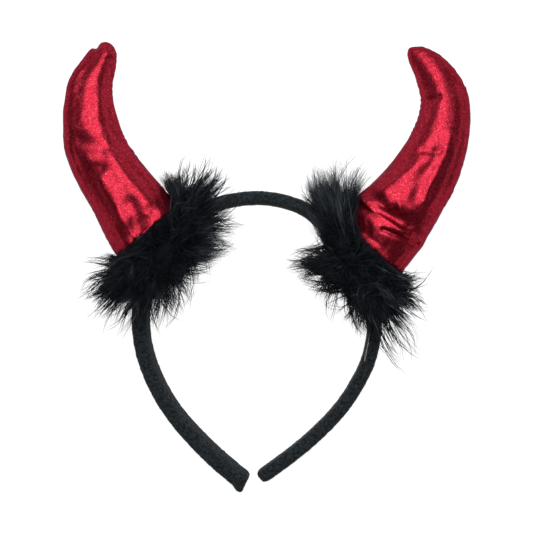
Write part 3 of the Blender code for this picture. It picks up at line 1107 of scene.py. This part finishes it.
@dataclass
class FeatherTrim:
    """The marabou trim round one horn's foot.

    Attributes:
        side: Which trim it is.
        hub: Its middle on the floor plan.
        turn: How far its ring is turned, in degrees.
        spreads: How far it reaches all round, as rows of the direction in degrees from +X towards
            +Y, the reach of its dense down and the reach of its wisps.
        horn: The horn that it goes round.
        haze: The directions between which thin grey down stands out, in degrees; its grey is painted light,
            standing in for light seen through the thin down.
        cover: How far the down lies over the horn's foot, as pairs of across and past.
        flank: Where its down climbs the horn's flank.
        seed: The seed of its plumes.
        chance: The random source of its plumes.
    """

    side: Side
    hub: Pair
    turn: float
    spreads: list[Row]
    horn: StuffedHorn
    haze: Pair
    cover: tuple[Pair, ...]
    flank: Flank
    seed: int
    chance: np.random.Generator = field(init=False)
    # The last column, tone, is partly painted sheen: the lighter barbs stand in for lit strands.
    growths: tuple[Growth, ...] = (
        Growth(Down.FLUFF, 400, 50, 2.4, 0.26, 0.28, 0.45, 0.10),
        Growth(Down.COLLAR, 190, 42, 1.6, 0.30, 0.26, 0.45, 0.09),
        Growth(Down.TUFT, 360, 36, 1.1, 0.12, 0.38, 0.45, 0.13),
        Growth(Down.FLANK, 110, 36, 1.6, 0.16, 0.26, 0.50, 0.14),
        # Haze: light grey down whose grey is painted light seen through thin down.
        Growth(Down.HAZE, 96, 32, 1.3, 0.10, 0.26, 0.45, 0.72),
        Growth(Down.LOCK, 130, 13, 1.4, 0.035, 0.42, 0.60, 0.14),
        Growth(Down.WISP, 240, 3, 0.3, 0.06, 0.62, 0.85, 0.20),
    )
    steps: int = 5
    middle_height: float = 17.0
    highest: float = 47.0
    lowest: float = 0.6
    low_roots: float = 6.0
    flatness: float = 0.3
    outward_pull: float = 0.9
    scatter_pull: float = 0.45
    lean: float = 0.075
    lean_start: float = 20.0
    core_voxel: float = 3.4
    core_sink: float = 1.5
    core_share: float = 0.78
    core_relief: float = 0.5
    core_lumps: float = 7.0
    core_floor: float = 0.2
    tuft_share: float = 0.035
    tuft_counts: tuple[int, ...] = (9, 14, 23, 37)
    tuft_reach: Pair = (0.80, 1.06)
    fluff_share: float = 0.93
    shortest: float = 3.0
    longest: float = 17.0
    least_long: float = 8.0
    tries: int = 18
    ring_inset: float = 1.5
    ring_depth: Pair = (-8.0, -2.4)
    ring_reach: Pair = (5.0, 12.0)
    ring_jitter: float = 0.3
    ring_lift: float = 0.45
    haze_span: float = 44.0
    wisp_start: float = 5.0
    longest_lock: float = 13.0
    repeats: int = 3
    tip_heights: Pair = (2.0, 34.0)
    aim_heights: Pair = (8.0, 29.0)
    aim_reach: float = 17.0
    down_curl: Pair = (0.03, 0.20)
    lock_curl: Pair = (0.02, 0.13)
    wisp_curl: Pair = (0.05, 0.26)
    overshoot: float = 1.05
    gather: float = 0.8
    flare_power: float = 1.4
    wave_size: float = 0.35
    wave_turns: Pair = (3.0, 11.0)
    barb_floor: float = 0.15
    barb_headroom: float = 2.0
    spare: Pair = (1.03, 0.10)
    slack: float = 0.35
    stray_share: float = 0.004
    stray_slack: float = 9.0
    horn_margin: float = 0.5

    def __post_init__(self) -> None:
        """Start the trim's random source."""
        self.chance = np.random.default_rng(self.seed)

    @property
    def name(self) -> str:
        """The frame node that the trim stands for."""
        return "feather_trim_" + self.side.value

    def outline(self, degrees: np.ndarray, wisps: bool) -> np.ndarray:
        """How far the trim reaches in some directions, in millimetres."""
        rows = np.array(sorted(self.spreads))
        return np.interp(degrees, rows[:, 0], rows[:, 2 if wisps else 1], period=360.0)

    def ragged(self, degrees: np.ndarray) -> np.ndarray:
        """How far the dense down reaches in some directions, with tufts and gaps."""
        turn = np.radians(degrees)
        waves = sum(np.sin(times * turn + self.seed * times) for times in self.tuft_counts)
        return self.outline(degrees, False) * (1.0 + self.tuft_share * waves)

    def bearing(self, co: np.ndarray) -> tuple[np.ndarray, np.ndarray]:
        """The direction of points from the hub in degrees, and their distance in millimetres."""
        away = co[..., :2] / MM - np.array(self.hub)
        return np.degrees(np.arctan2(away[..., 1], away[..., 0])), np.hypot(away[..., 0], away[..., 1])

    def core(self, down: bpy.types.Material) -> bpy.types.Object:
        """Make the packed down at the trim's heart, which the plumes grow from.

        Args:
            down: The down's finish.

        Returns:
            The finished core.
        """
        piece = copy_of_node(self.name, self.name + "_core")
        even_out(piece, self.core_voxel)
        keep_largest(piece)
        soften(piece, 80, 0.7)
        even_out(piece, self.core_voxel / 2)
        keep_largest(piece)
        co = points_of(piece) - normals_of(piece) * self.core_sink * MM
        degrees, distance = self.bearing(co)
        edge = self.outline(degrees, False) * self.core_share
        share = np.minimum(1.0, edge / np.maximum(distance, 1e-6))
        hub = np.array(self.hub)
        co[:, :2] = (hub + (co[:, :2] / MM - hub) * share[:, None]) * MM
        put_points(piece, co)
        soften(piece, 6, 0.5)
        co = points_of(piece)
        lumps = self.core_relief * ripple(co, self.core_lumps, self.seed + 1)
        co += normals_of(piece) * lumps[:, None] * MM
        co[:, 2] = np.maximum(co[:, 2], self.core_floor * MM)
        put_points(piece, co)
        tone = piece.data.attributes.new("tone", "FLOAT", "POINT")
        tone.data.foreach_set("value", np.zeros(len(piece.data.vertices), np.float32))
        piece.data.materials.append(down)
        piece.data.shade_smooth()
        hand_over(piece, "feather", self.name)
        return piece

    def sprout(self, core: bpy.types.Object, growth: Growth) -> tuple[np.ndarray, np.ndarray]:
        """Find where fluff grows from the core, as far as the trim's outline.

        Args:
            core: The trim's packed heart.
            growth: The kind of plume.

        Returns:
            The plumes' roots and tips, in metres.
        """
        roots, normals = scatter(core, growth.plumes, self.chance)
        outward = roots - np.array([*self.hub, self.middle_height]) * MM
        outward[:, 2] *= self.flatness
        ways = unit(normals + self.outward_pull * unit(outward)
                    + self.scatter_pull * self.chance.normal(size=normals.shape))
        low = roots[:, 2] < self.low_roots * MM
        ways[:, 2] = np.where(low, np.abs(ways[:, 2]) * self.flatness, ways[:, 2])
        ways = unit(ways)
        tries = np.linspace(self.shortest, self.longest, self.tries) * MM
        ends = roots[:, None] + ways[:, None] * tries[None, :, None]
        degrees, distance = self.bearing(ends)
        inside = ((distance < self.ragged(degrees) * self.fluff_share)
                  & (ends[..., 2] < self.highest * MM) & (ends[..., 2] > self.lowest * MM))
        reach = tries[np.maximum(inside.sum(1) - 1, 0)] * self.chance.uniform(0.7, 1.0, len(roots))
        most = self.chance.uniform(self.least_long, self.longest, len(roots)) * MM
        return roots, roots + ways * np.minimum(reach, most)[:, None]

    def ring(self, growth: Growth) -> tuple[np.ndarray, np.ndarray]:
        """Find where the collar of down grows, round the edge of the disc at the horn's foot.

        Args:
            growth: The kind of plume.

        Returns:
            The plumes' roots and tips, in metres.
        """
        _, _, height, width, depth = self.horn.rows[0]
        turn = self.chance.uniform(0.0, 2 * math.pi, growth.plumes)
        across = (width / 2 - self.ring_inset) * np.cos(turn)
        up = (depth / 2 - self.ring_inset) * np.sin(turn)
        past = self.chance.uniform(*self.ring_depth, growth.plumes)
        reach = self.chance.uniform(*self.ring_reach, growth.plumes)
        jitter = self.ring_jitter * self.chance.normal(size=(growth.plumes, 3))
        lift = self.ring_lift * np.abs(np.cos(turn)) ** 3
        roots = self.horn.foot_place(across, past, height + up)
        tips = self.horn.foot_place(across + reach * (np.cos(turn) + jitter[:, 0]),
                                    past + reach * (jitter[:, 1] + lift),
                                    height + up + reach * (np.sin(turn) + jitter[:, 2]))
        tips[:, 2] = np.clip(tips[:, 2], self.lowest, self.highest)
        return roots * MM, tips * MM

    def climb(self, growth: Growth) -> tuple[np.ndarray, np.ndarray]:
        """Find where down climbs the horn's flank.

        Args:
            growth: The kind of plume.

        Returns:
            The plumes' roots and tips, in metres.
        """
        count = growth.plumes
        middle = self.horn.rows[0][2]
        roots = self.horn.foot_place(self.flank.root + self.chance.uniform(-3.0, 2.0, count),
                                     self.chance.uniform(-7.0, -1.0, count),
                                     middle + self.chance.uniform(-7.0, 9.0, count))
        share = self.chance.beta(1.1, 1.5, count)
        spread = share + 0.25 * self.chance.normal(size=count)
        tips = self.horn.foot_place(np.interp(spread, (0.0, 1.0), self.flank.across),
                                    np.interp(share, (0.0, 1.0), self.flank.past),
                                    self.chance.uniform(*self.flank.height, count))
        return roots * MM, tips * MM

    def reach_out(self, tree: BVHTree, growth: Growth) -> tuple[np.ndarray, np.ndarray]:
        """Find tips on the trim's outline and the places on the core that they grow from.

        Args:
            tree: The core's surface.
            growth: The kind of plume.

        Returns:
            The plumes' roots and tips, in metres.
        """
        hub = np.array(self.hub)
        axis = np.array([math.cos(math.radians(self.turn)), math.sin(math.radians(self.turn))])
        hazy = growth.kind is Down.HAZE
        first, last = self.haze if hazy else (-180.0, 180.0)
        wanted = growth.plumes * (last - first) / (self.haze_span if hazy else 360.0)
        most = self.longest_lock if growth.kind is Down.LOCK else math.inf
        longest = [row[0] for row in self.spreads if self.wisp_start < row[2] - row[1] < most]
        roots = []
        tips = []
        while len(roots) < wanted:
            degrees = self.chance.uniform(first, last)
            if growth.kind is Down.TUFT:
                edge = self.ragged(degrees) * self.chance.uniform(*self.tuft_reach)
            else:
                share = self.chance.beta(1.1, 1.3)
                if not hazy and len(roots) < self.repeats * len(longest):
                    degrees = longest[len(roots) // self.repeats] + self.chance.uniform(-2.0, 2.0)
                    share = self.chance.uniform(0.85, 1.0)
                elif growth.kind is Down.LOCK:
                    share = self.chance.beta(1.2, 1.8)
                elif growth.kind is Down.WISP:
                    share = self.chance.beta(1.8, 1.3)
                start = self.outline(degrees, False)
                edge = start + share * min(self.outline(degrees, True) - start, most)
            way = np.array([math.cos(math.radians(degrees)), math.sin(math.radians(degrees))])
            tip = np.array([*(hub + way * edge), self.chance.uniform(*self.tip_heights)])
            shift = axis * self.chance.uniform(-self.aim_reach, self.aim_reach)
            back = np.array([*(hub + shift), self.chance.uniform(*self.aim_heights)]) - tip
            span = float(np.linalg.norm(back)) * MM
            hit, _, _, gap = tree.ray_cast(Vector(tip * MM), Vector(back), span)
            if hit is not None and gap > self.shortest * MM:
                roots.append(hit)
                tips.append(tip * MM)
        return np.array(roots), np.array(tips)

    def barbs(self, roots: np.ndarray, tips: np.ndarray, growth: Growth) -> np.ndarray:
        """Split plumes into barbs.

        Args:
            roots: The plumes' roots, in metres.
            tips: Their tips.
            growth: The kind of plume.

        Returns:
            The barbs' lines, in metres.
        """
        chance = self.chance
        count = len(roots)
        run = tips - roots
        reach = np.linalg.norm(run, axis=1)
        ways = unit(run)
        sag = chance.normal(size=(count, 3))
        sag = unit(sag - (sag * ways).sum(1, keepdims=True) * ways)
        curl = {Down.LOCK: self.lock_curl, Down.WISP: self.wisp_curl}.get(growth.kind, self.down_curl)
        bend = sag * (reach * chance.uniform(*curl, count))[:, None]
        plume = np.repeat(np.arange(count), growth.barbs)
        total = len(plume)
        t = np.linspace(0.0, 1.0, self.steps)[None, :, None]
        low = chance.uniform(-0.2, 0.6, total) * (1.0 - growth.least)
        top = growth.least + (self.overshoot - growth.least) * chance.beta(1.4, 1.3, total)
        shaft = low[:, None, None] + (top - low)[:, None, None] * t
        flare_way = chance.normal(size=(total, 3))
        flare_way -= (flare_way * ways[plume]).sum(1, keepdims=True) * ways[plume]
        offset = chance.normal(size=(total, 3)) * growth.wide * MM
        flare_size = growth.fan * reach[plume] * np.abs(chance.normal(size=total))
        flare = unit(flare_way) * flare_size[:, None]
        wave = unit(chance.normal(size=(total, 3)))[:, None] * self.wave_size * MM
        turns = chance.uniform(*self.wave_turns, total)[:, None, None]
        arch = 4.0 * shaft * (1.0 - shaft)
        lines = (roots[plume][:, None] + run[plume][:, None] * shaft + bend[plume][:, None] * arch
                 + offset[:, None] * (1.0 - self.gather * np.clip(shaft, 0.0, 1.0))
                 + flare[:, None] * t ** self.flare_power + wave * np.sin(turns * t))
        top_height = self.highest + self.barb_headroom
        lines[..., 2] = np.clip(lines[..., 2], self.barb_floor * MM, top_height * MM)
        return lines

    def within(self, lines: np.ndarray, growth: Growth) -> np.ndarray:
        """Find the barbs that end inside the trim's outline, or a little outside it.

        Args:
            lines: The barbs' lines, in metres.
            growth: The kind of plume.

        Returns:
            Whether each barb stays.
        """
        degrees, distance = self.bearing(lines[:, -1])
        wisps = growth.kind in (Down.WISP, Down.HAZE, Down.LOCK, Down.FLANK)
        edge = self.outline(degrees, True) if wisps else self.ragged(degrees)
        least, extra = self.spare
        return distance < edge * (least + extra * np.abs(self.chance.normal(size=len(lines))))

    def clear_of_horn(self, lines: np.ndarray, horn: BVHTree) -> np.ndarray:
        """Find the barbs that don't cross the horn or cover too much of it, but for a few strays.

        Args:
            lines: The barbs' lines, in metres.
            horn: The horn's surface.

        Returns:
            Whether each barb stays.
        """
        stays = np.ones(len(lines), bool)
        down = Vector((0.0, 0.0, -1.0))
        across_rows, past_rows = zip(*self.cover)
        _, _, middle, width, _ = self.horn.rows[0]
        slack = self.chance.gamma(1.0, self.slack, len(lines))
        slack[self.chance.uniform(size=len(lines)) < self.stray_share] = self.stray_slack
        for step in range(1, self.steps):
            place = lines[:, step]
            height = place[:, 2] / MM
            past = self.horn.foot_distance(place)
            across = self.horn.foot_across(place)
            limit = np.interp(across, across_rows, past_rows) + slack
            limit -= self.lean * np.maximum(height - self.lean_start, 0.0)
            above = (np.abs(across) < width / 2 + self.horn_margin) & (height > middle)
            stays &= ~(above & (past > limit))
            for index in np.nonzero(stays & (past > -self.horn.hem_fold))[0]:
                hit, normal, _, _ = horn.ray_cast(Vector(place[index]), down)
                if hit is not None and (normal.z < 0 or past[index] > limit[index]):
                    stays[index] = False
        return stays

    def grow(self, growth: Growth, core: bpy.types.Object,
             tree: BVHTree) -> tuple[np.ndarray, np.ndarray]:
        """Find where one kind of plume grows.

        Args:
            growth: The kind of plume.
            core: The trim's packed heart.
            tree: The core's surface.

        Returns:
            The plumes' roots and tips, in metres.
        """
        if growth.kind is Down.FLUFF:
            return self.sprout(core, growth)
        if growth.kind is Down.COLLAR:
            return self.ring(growth)
        if growth.kind is Down.FLANK:
            return self.climb(growth)
        return self.reach_out(tree, growth)

    def build(self, horn_cloth: bpy.types.Object, down: bpy.types.Material) -> list[bpy.types.Object]:
        """Make the trim: its core, its down and its wisps.

        Args:
            horn_cloth: The finished horn.
            down: The down's finish.

        Returns:
            The finished pieces.
        """
        core = self.core(down)
        horn_tree = search_tree(horn_cloth)
        core_tree = search_tree(core)
        made = [core]
        for growth in self.growths:
            roots, tips = self.grow(growth, core, core_tree)
            # Lightness per plume here and per barb below: random tone, with the lighter barbs partly
            # painted sheen.
            shade = np.repeat(self.chance.gamma(1.5, growth.tone / 1.5, len(roots)), growth.barbs)
            lines = self.barbs(roots, tips, growth)
            stays = self.clear_of_horn(lines, horn_tree) & self.within(lines, growth)
            lines = lines[stays]
            total = len(lines)
            widths = self.chance.uniform(0.5, 1.0, total) * growth.widest * MM
            tones = np.clip(shade[stays] * self.chance.gamma(1.6, 1 / 1.6, total), 0.0, 1.0)
            piece = ribbons(f"{self.name}_{growth.kind.value}", lines, widths,
                            self.chance.normal(size=(total, 3)), tones)
            piece.data.materials.append(down)
            hand_over(piece, "feather")
            made.append(piece)
        return made


# Studio


@dataclass
class Studio:
    """The pale floor, the soft light and the camera straight above."""

    camera_height: float = 0.8
    camera_x: float = -0.0002
    camera_y: float = -0.00031
    view_width: float = 0.2745
    view_distance: float = 0.788
    light_place: tuple[float, float, float] = (0.0, 0.50, 0.90)
    light_width: float = 1.35
    light_length: float = 1.7
    light_power: float = 21.0
    world_light: float = 0.12
    floor_size: float = 12.0
    floor_glow: float = 0.92
    floor_colour: Colour = (0.20, 0.20, 0.20)

    def build(self) -> None:
        """Make the floor, the light, the surroundings and the camera."""
        self.floor()
        self.lights()
        self.camera()

    def floor(self) -> None:
        """A plain pale floor that glows a little, as a lit paper sweep does."""
        bpy.ops.object.select_all(action="DESELECT")
        bpy.ops.mesh.primitive_plane_add(size=self.floor_size, location=(0.0, 0.0, 0.0))
        floor = bpy.context.view_layer.objects.active
        floor.name = "studio_floor"
        sheet = NodeSheet("pale_floor")
        shade = sheet.noise(sheet.place(), 60.0, 2.0)
        colour = sheet.blend(shade, self.floor_colour, tuple(c * 1.01 for c in self.floor_colour))
        sheet.shader.inputs["Emission Color"].default_value = (1.0, 1.0, 1.0, 1.0)
        floor.data.materials.append(sheet.finish(colour, None, Roughness=1.0, Specular_IOR_Level=0.0,
                                                 Emission_Strength=self.floor_glow))

    def lights(self) -> None:
        """One large soft light above and an even, dimmer light from all round."""
        light = bpy.data.lights.new("soft_box", "AREA")
        light.shape = "ELLIPSE"
        light.size = self.light_width
        light.size_y = self.light_length
        light.energy = self.light_power
        box = bpy.data.objects.new("soft_box", light)
        box.location = self.light_place
        box.rotation_euler = Vector(self.light_place).to_track_quat("Z", "Y").to_euler()
        box.visible_camera = False
        bpy.context.scene.collection.objects.link(box)
        world = bpy.data.worlds.new("studio")
        world.use_nodes = True
        back = world.node_tree.nodes["Background"]
        back.inputs["Color"].default_value = (1.0, 1.0, 1.0, 1.0)
        back.inputs["Strength"].default_value = self.world_light
        bpy.context.scene.world = world
        bpy.context.scene.view_settings.view_transform = "Standard"

    def camera(self) -> None:
        """The camera straight above, with the photograph's field of view."""
        lens = bpy.data.cameras.new("camera")
        lens.sensor_fit = "HORIZONTAL"
        lens.angle = 2 * math.atan(self.view_width / 2 / self.view_distance)
        eye = bpy.data.objects.new("camera", lens)
        eye.location = (self.camera_x, self.camera_y, self.camera_height)
        bpy.context.scene.collection.objects.link(eye)
        bpy.context.scene.camera = eye


# The object's own places and sizes, in millimetres

BAND_LINE = [
    (-13.4, -110.2, 5.13), (-30.3, -95.6, 7.0), (-47.6, -76.8, 8.5), (-58.6, -58.0, 10.0),
    (-64.4, -39.2, 11.6), (-65.1, -20.5, 13.2), (-60.8, -3.5, 14.6), (-53.3, 10.2, 15.8),
    (-42.0, 22.3, 16.8), (-27.1, 31.1, 17.6), (-4.5, 34.7, 17.9), (15.9, 30.6, 17.5),
    (29.7, 20.4, 16.6), (42.1, 4.8, 15.3), (50.4, -12.0, 13.8), (54.9, -30.0, 12.3),
    (53.9, -42.1, 11.3), (49.6, -55.0, 10.3), (38.0, -73.8, 8.7), (19.3, -92.6, 7.1),
    (-1.1, -108.2, 5.03),
]

# Across, along, middle height, width and depth of each section, from the foot to the tip
LEFT_SECTIONS = [
    (0.0, 0.0, 15.1, 40.7, 32.5), (1.2, 9.4, 15.3, 39.4, 33.0), (2.6, 18.7, 14.9, 37.5, 32.0),
    (4.2, 32.8, 13.9, 35.4, 30.0), (7.0, 46.9, 12.8, 33.2, 28.0), (10.3, 55.8, 11.9, 31.5, 26.0),
    (15.2, 63.9, 10.9, 29.0, 24.0), (20.9, 71.1, 9.7, 25.7, 21.5), (27.2, 77.2, 8.5, 23.6, 19.0),
    (33.9, 81.0, 7.3, 20.6, 16.5), (40.6, 84.9, 5.7, 15.8, 13.0), (44.1, 87.0, 4.5, 10.9, 9.5),
    (46.3, 88.8, 3.5, 3.4, 4.0),
]

RIGHT_SECTIONS = [
    (0.0, 0.0, 14.6, 36.2, 31.0), (-1.3, 6.3, 15.1, 38.8, 32.5), (-2.6, 13.0, 15.6, 42.4, 34.0),
    (-3.6, 17.2, 15.5, 42.6, 33.5), (-4.3, 21.3, 15.8, 43.7, 34.5), (-4.6, 28.8, 15.6, 44.0, 34.0),
    (-4.8, 37.1, 15.1, 42.6, 33.0), (-5.7, 46.4, 14.1, 39.2, 31.0), (-7.4, 55.8, 13.3, 35.7, 29.0),
    (-10.1, 65.5, 12.3, 32.3, 27.0), (-14.0, 74.0, 11.1, 29.4, 24.5), (-18.2, 80.9, 9.9, 27.1, 22.0),
    (-22.9, 85.8, 8.7, 24.5, 19.5), (-29.2, 89.2, 7.5, 21.9, 17.0), (-36.2, 92.0, 6.3, 18.3, 14.5),
    (-42.6, 93.1, 5.1, 14.0, 11.5), (-46.9, 93.5, 4.1, 9.3, 8.5), (-50.3, 93.4, 3.3, 3.0, 4.0),
]

LEFT_FOLDS = [
    Fold(((-89.8, 97.5), (-91.4, 92.0), (-92.6, 84.0), (-93.1, 73.4)), 0.45, 3.0),
    Fold(((-82.5, 109.5), (-85.6, 101.3), (-86.3, 94.2), (-86.1, 84.0), (-86.1, 75.0)), 0.45, 3.0),
    Fold(((-94.0, 63.0), (-84.0, 59.0)), -1.5, 4.4),
    Fold(((-90.5, 54.5), (-81.0, 57.0)), 0.6, 3.2),
    Fold(((-94.0, 47.5), (-84.0, 49.5)), -0.9, 3.0),
    Fold(((-77.0, 53.4), (-71.2, 44.1), (-64.1, 35.5), (-55.9, 27.5)), 1.2, 4.2),
    Fold(((-83.0, 43.4), (-77.7, 34.0), (-73.5, 24.0), (-70.3, 11.7)), 1.1, 3.8),
    Fold(((-68.6, 31.0), (-66.0, 24.0), (-63.4, 15.5)), -1.6, 4.0),
    Fold(((-80.3, 102.9), (-81.3, 93.2), (-81.1, 80.3), (-78.5, 70.0), (-75.1, 60.7), (-71.5, 53.5),
          (-65.1, 46.2), (-59.0, 38.6), (-53.6, 32.3)), -0.6, 2.5),
    Fold(((-99.1, 101.2), (-100.7, 90.9), (-101.7, 80.5), (-101.2, 71.2)), 0.9, 4.2),
    Fold(((-81.2, 106.7), (-76.4, 105.1)), -0.4, 1.6),
    Fold(((-86.6, 110.6), (-90.5, 103.5), (-95.0, 96.4)), -0.35, 2.4),
]

RIGHT_FOLDS = [
    Fold(((74.2, 109.0), (82.9, 102.7), (88.5, 94.0), (90.0, 82.9), (88.5, 72.6), (84.5, 63.1)),
         0.5, 4.0),
    Fold(((76.6, 85.3), (81.3, 84.5), (87.7, 86.5)), -1.0, 1.6),
    Fold(((81.3, 54.4), (74.2, 48.9), (67.1, 43.4), (60.0, 37.8)), 1.2, 3.5),
    Fold(((92.4, 65.5), (90.1, 58.4), (86.1, 49.7), (82.2, 41.8), (79.0, 33.1)), 1.0, 2.6),
    Fold(((87.0, 59.0), (82.5, 51.0), (78.6, 43.0), (76.0, 35.5)), -1.3, 4.8),
    Fold(((99.8, 93.2), (101.0, 80.3), (100.4, 70.0), (98.3, 59.7), (94.7, 49.4), (90.6, 39.1),
          (86.5, 29.8)), -0.6, 2.6),
    Fold(((79.0, 58.0), (87.7, 57.6)), -0.7, 1.8),
    Fold(((51.0, 37.5), (59.0, 30.0), (66.5, 25.0), (72.5, 23.0)), -1.5, 3.4),
    Fold(((66.3, 31.8), (67.1, 26.7)), 0.6, 1.6),
    Fold(((48.7, 33.1), (56.0, 25.8), (62.4, 21.2), (67.4, 17.6), (72.5, 16.6)), 1.2, 1.6),
    Fold(((58.5, 18.2), (62.4, 16.6), (67.4, 14.6), (72.5, 12.8), (76.3, 11.4)), -1.5, 1.25),
]

# Direction in degrees, reach of the dense down and reach of the wisps
LEFT_SPREADS = [
    (88, 30, 38), (82, 28, 38), (78, 30, 42), (75.5, 28.5, 54), (72, 27.5, 45), (68, 31.5, 50),
    (62, 34.5, 60), (58, 35.5, 48), (52, 39.5, 52), (46, 37.5, 50), (39, 39.5, 48), (35, 38.5, 54),
    (28, 36, 42), (23, 33, 40), (19, 26, 42), (16, 25, 40), (13, 26, 45), (6.4, 29, 38),
    (0, 26, 37), (-4, 25, 41), (-9, 23, 32), (-14, 22, 30), (-25, 20, 28), (-34, 19, 32),
    (-45, 19, 27), (-55, 20, 27), (-63, 22, 30), (-67.5, 24, 37), (-72, 26, 34), (-75, 27, 43),
    (-81, 28, 36), (-88, 31, 40), (-91, 33, 50), (-95, 36, 44), (-100, 36, 43), (-107, 36, 46),
    (-114, 37, 56), (-119, 37, 47), (-123.5, 38, 58), (-129, 39, 48), (-134, 40, 55),
    (-140, 40, 48), (-145.6, 40, 51), (-151, 36, 54), (-156, 33, 44), (-160, 32, 45),
    (-168, 31, 48), (-173, 30, 42), (-178, 26, 32), (150, 23, 26), (120, 25, 28), (100, 31, 38),
]

RIGHT_SPREADS = [
    (65, 31, 40), (73, 31.5, 54), (79, 33.5, 53), (85.5, 34.5, 63), (89, 36.5, 54), (93, 37.5, 55),
    (97.3, 37.5, 61), (103, 38.5, 54), (108.6, 35.5, 56), (113, 37.5, 58), (116.5, 40.5, 55),
    (122, 38.5, 50), (129, 39, 46), (136, 31, 36), (140, 19, 30), (146, 10, 20), (155, 11, 24),
    (161, 14, 30), (169, 24, 34), (177, 28, 37), (-176, 27, 37), (-170, 24, 32), (-165, 22, 32),
    (-153, 19, 29), (-136, 16, 26), (-128, 14, 28), (-112, 14, 34), (-98, 20, 30), (-92, 24, 33),
    (-87, 28, 39), (-80, 32, 38), (-72, 36, 44), (-67, 38, 58), (-64, 37, 66), (-60, 35, 52),
    (-56, 33, 68), (-50, 34, 46), (-43, 32, 42), (-39.5, 36, 51), (-33, 32, 40), (-28, 36, 48),
    (-23.5, 31, 38), (-17, 30, 36), (-12, 31, 43), (-7.5, 26, 33), (-1, 24, 44), (5, 23, 30),
    (20, 23, 26), (50, 25, 28),
]

# Where the down lies over each horn's foot, as pairs of across and past
LEFT_COVER = ((-21.0, 0.2), (0.0, -0.2), (12.0, -0.2), (21.0, 0.8))
RIGHT_COVER = ((-29.0, 36.0), (-26.5, 30.0), (-23.3, 16.5), (-20.5, 11.0), (-16.0, 6.0),
               (-12.0, 4.0), (-5.0, 2.9), (5.0, 0.4), (16.0, -1.0))

# Distance along the line, inner push and outer push of the band's cover
BAND_PUSHES = [
    (-6.0, 0.6, 1.0), (10.0, 0.8, 1.1), (30.0, 0.9, 0.7), (50.0, 1.0, 0.2), (90.0, 1.2, 0.1),
    (108.0, 1.6, 0.1), (125.0, 1.0, 0.1), (145.0, 0.3, 0.0), (170.0, 0.0, 0.0), (290.0, 0.0, 0.0),
    (305.0, 0.25, 0.25), (400.0, 0.25, 0.25),
]

BAND_NUDGES = [
    Nudge(-14.0, -114.6, 0.3, -2.2, 3.2), Nudge(-8.9, -109.0, 0.2, 0.4, 3.0),
    Nudge(-2.6, -110.6, 0.1, 0.6, 2.6),
]

LOOSE_THREADS = [
    [(52.6, -34.2, 16.2), (52.2, -37.4, 16.4), (51.6, -40.6, 16.0), (51.1, -44.2, 15.6),
     (50.2, -48.9, 15.2)],
    [(52.3, -39.0, 16.0), (51.2, -42.4, 15.8), (50.4, -45.6, 15.4), (50.1, -48.8, 15.2)],
]


def main() -> None:
    """Build the headband's pieces, then the studio round them."""
    logging.basicConfig(level=logging.INFO, format="%(name)s: %(message)s")
    foil = FoilCloth().material()
    knit = KnitFelt().material()
    felt = DarkFelt().material()
    down = BlackDown().material()
    thread = PlainCover("pale_thread", (0.22, 0.20, 0.17), (0.42, 0.39, 0.34), 0.4).material()
    left = StuffedHorn(Side.LEFT, (-61.6, 18.0), 40.4, LEFT_SECTIONS, LEFT_FOLDS,
                       [Nudge(-88.5, 114.1, 0.6, -2.0, 1.9)])
    right = StuffedHorn(Side.RIGHT, (55.3, 7.6), -38.4, RIGHT_SECTIONS, RIGHT_FOLDS, [])
    trims = {
        Side.LEFT: FeatherTrim(Side.LEFT, (-52.7, 10.8), 53.0, LEFT_SPREADS, left, (-24.0, 6.0),
                               LEFT_COVER, Flank(19.5, (22.0, 28.0), (4.0, 21.0), (3.0, 22.0)), 11),
        Side.RIGHT: FeatherTrim(Side.RIGHT, (44.4, 1.0), -60.0, RIGHT_SPREADS, right, (76.0, 120.0),
                                RIGHT_COVER, Flank(-18.0, (-20.0, -33.0), (5.0, 36.0), (10.0, 34.0)),
                                23),
    }
    for horn in (left, right):
        cloth = horn.build(foil)
        HornBase(horn.side).build(felt)
        trims[horn.side].build(cloth, down)
    Band(BAND_LINE, BAND_PUSHES, BAND_NUDGES).build(knit, thread, LOOSE_THREADS)
    Studio().build()


if __name__ == "__main__":
    main()
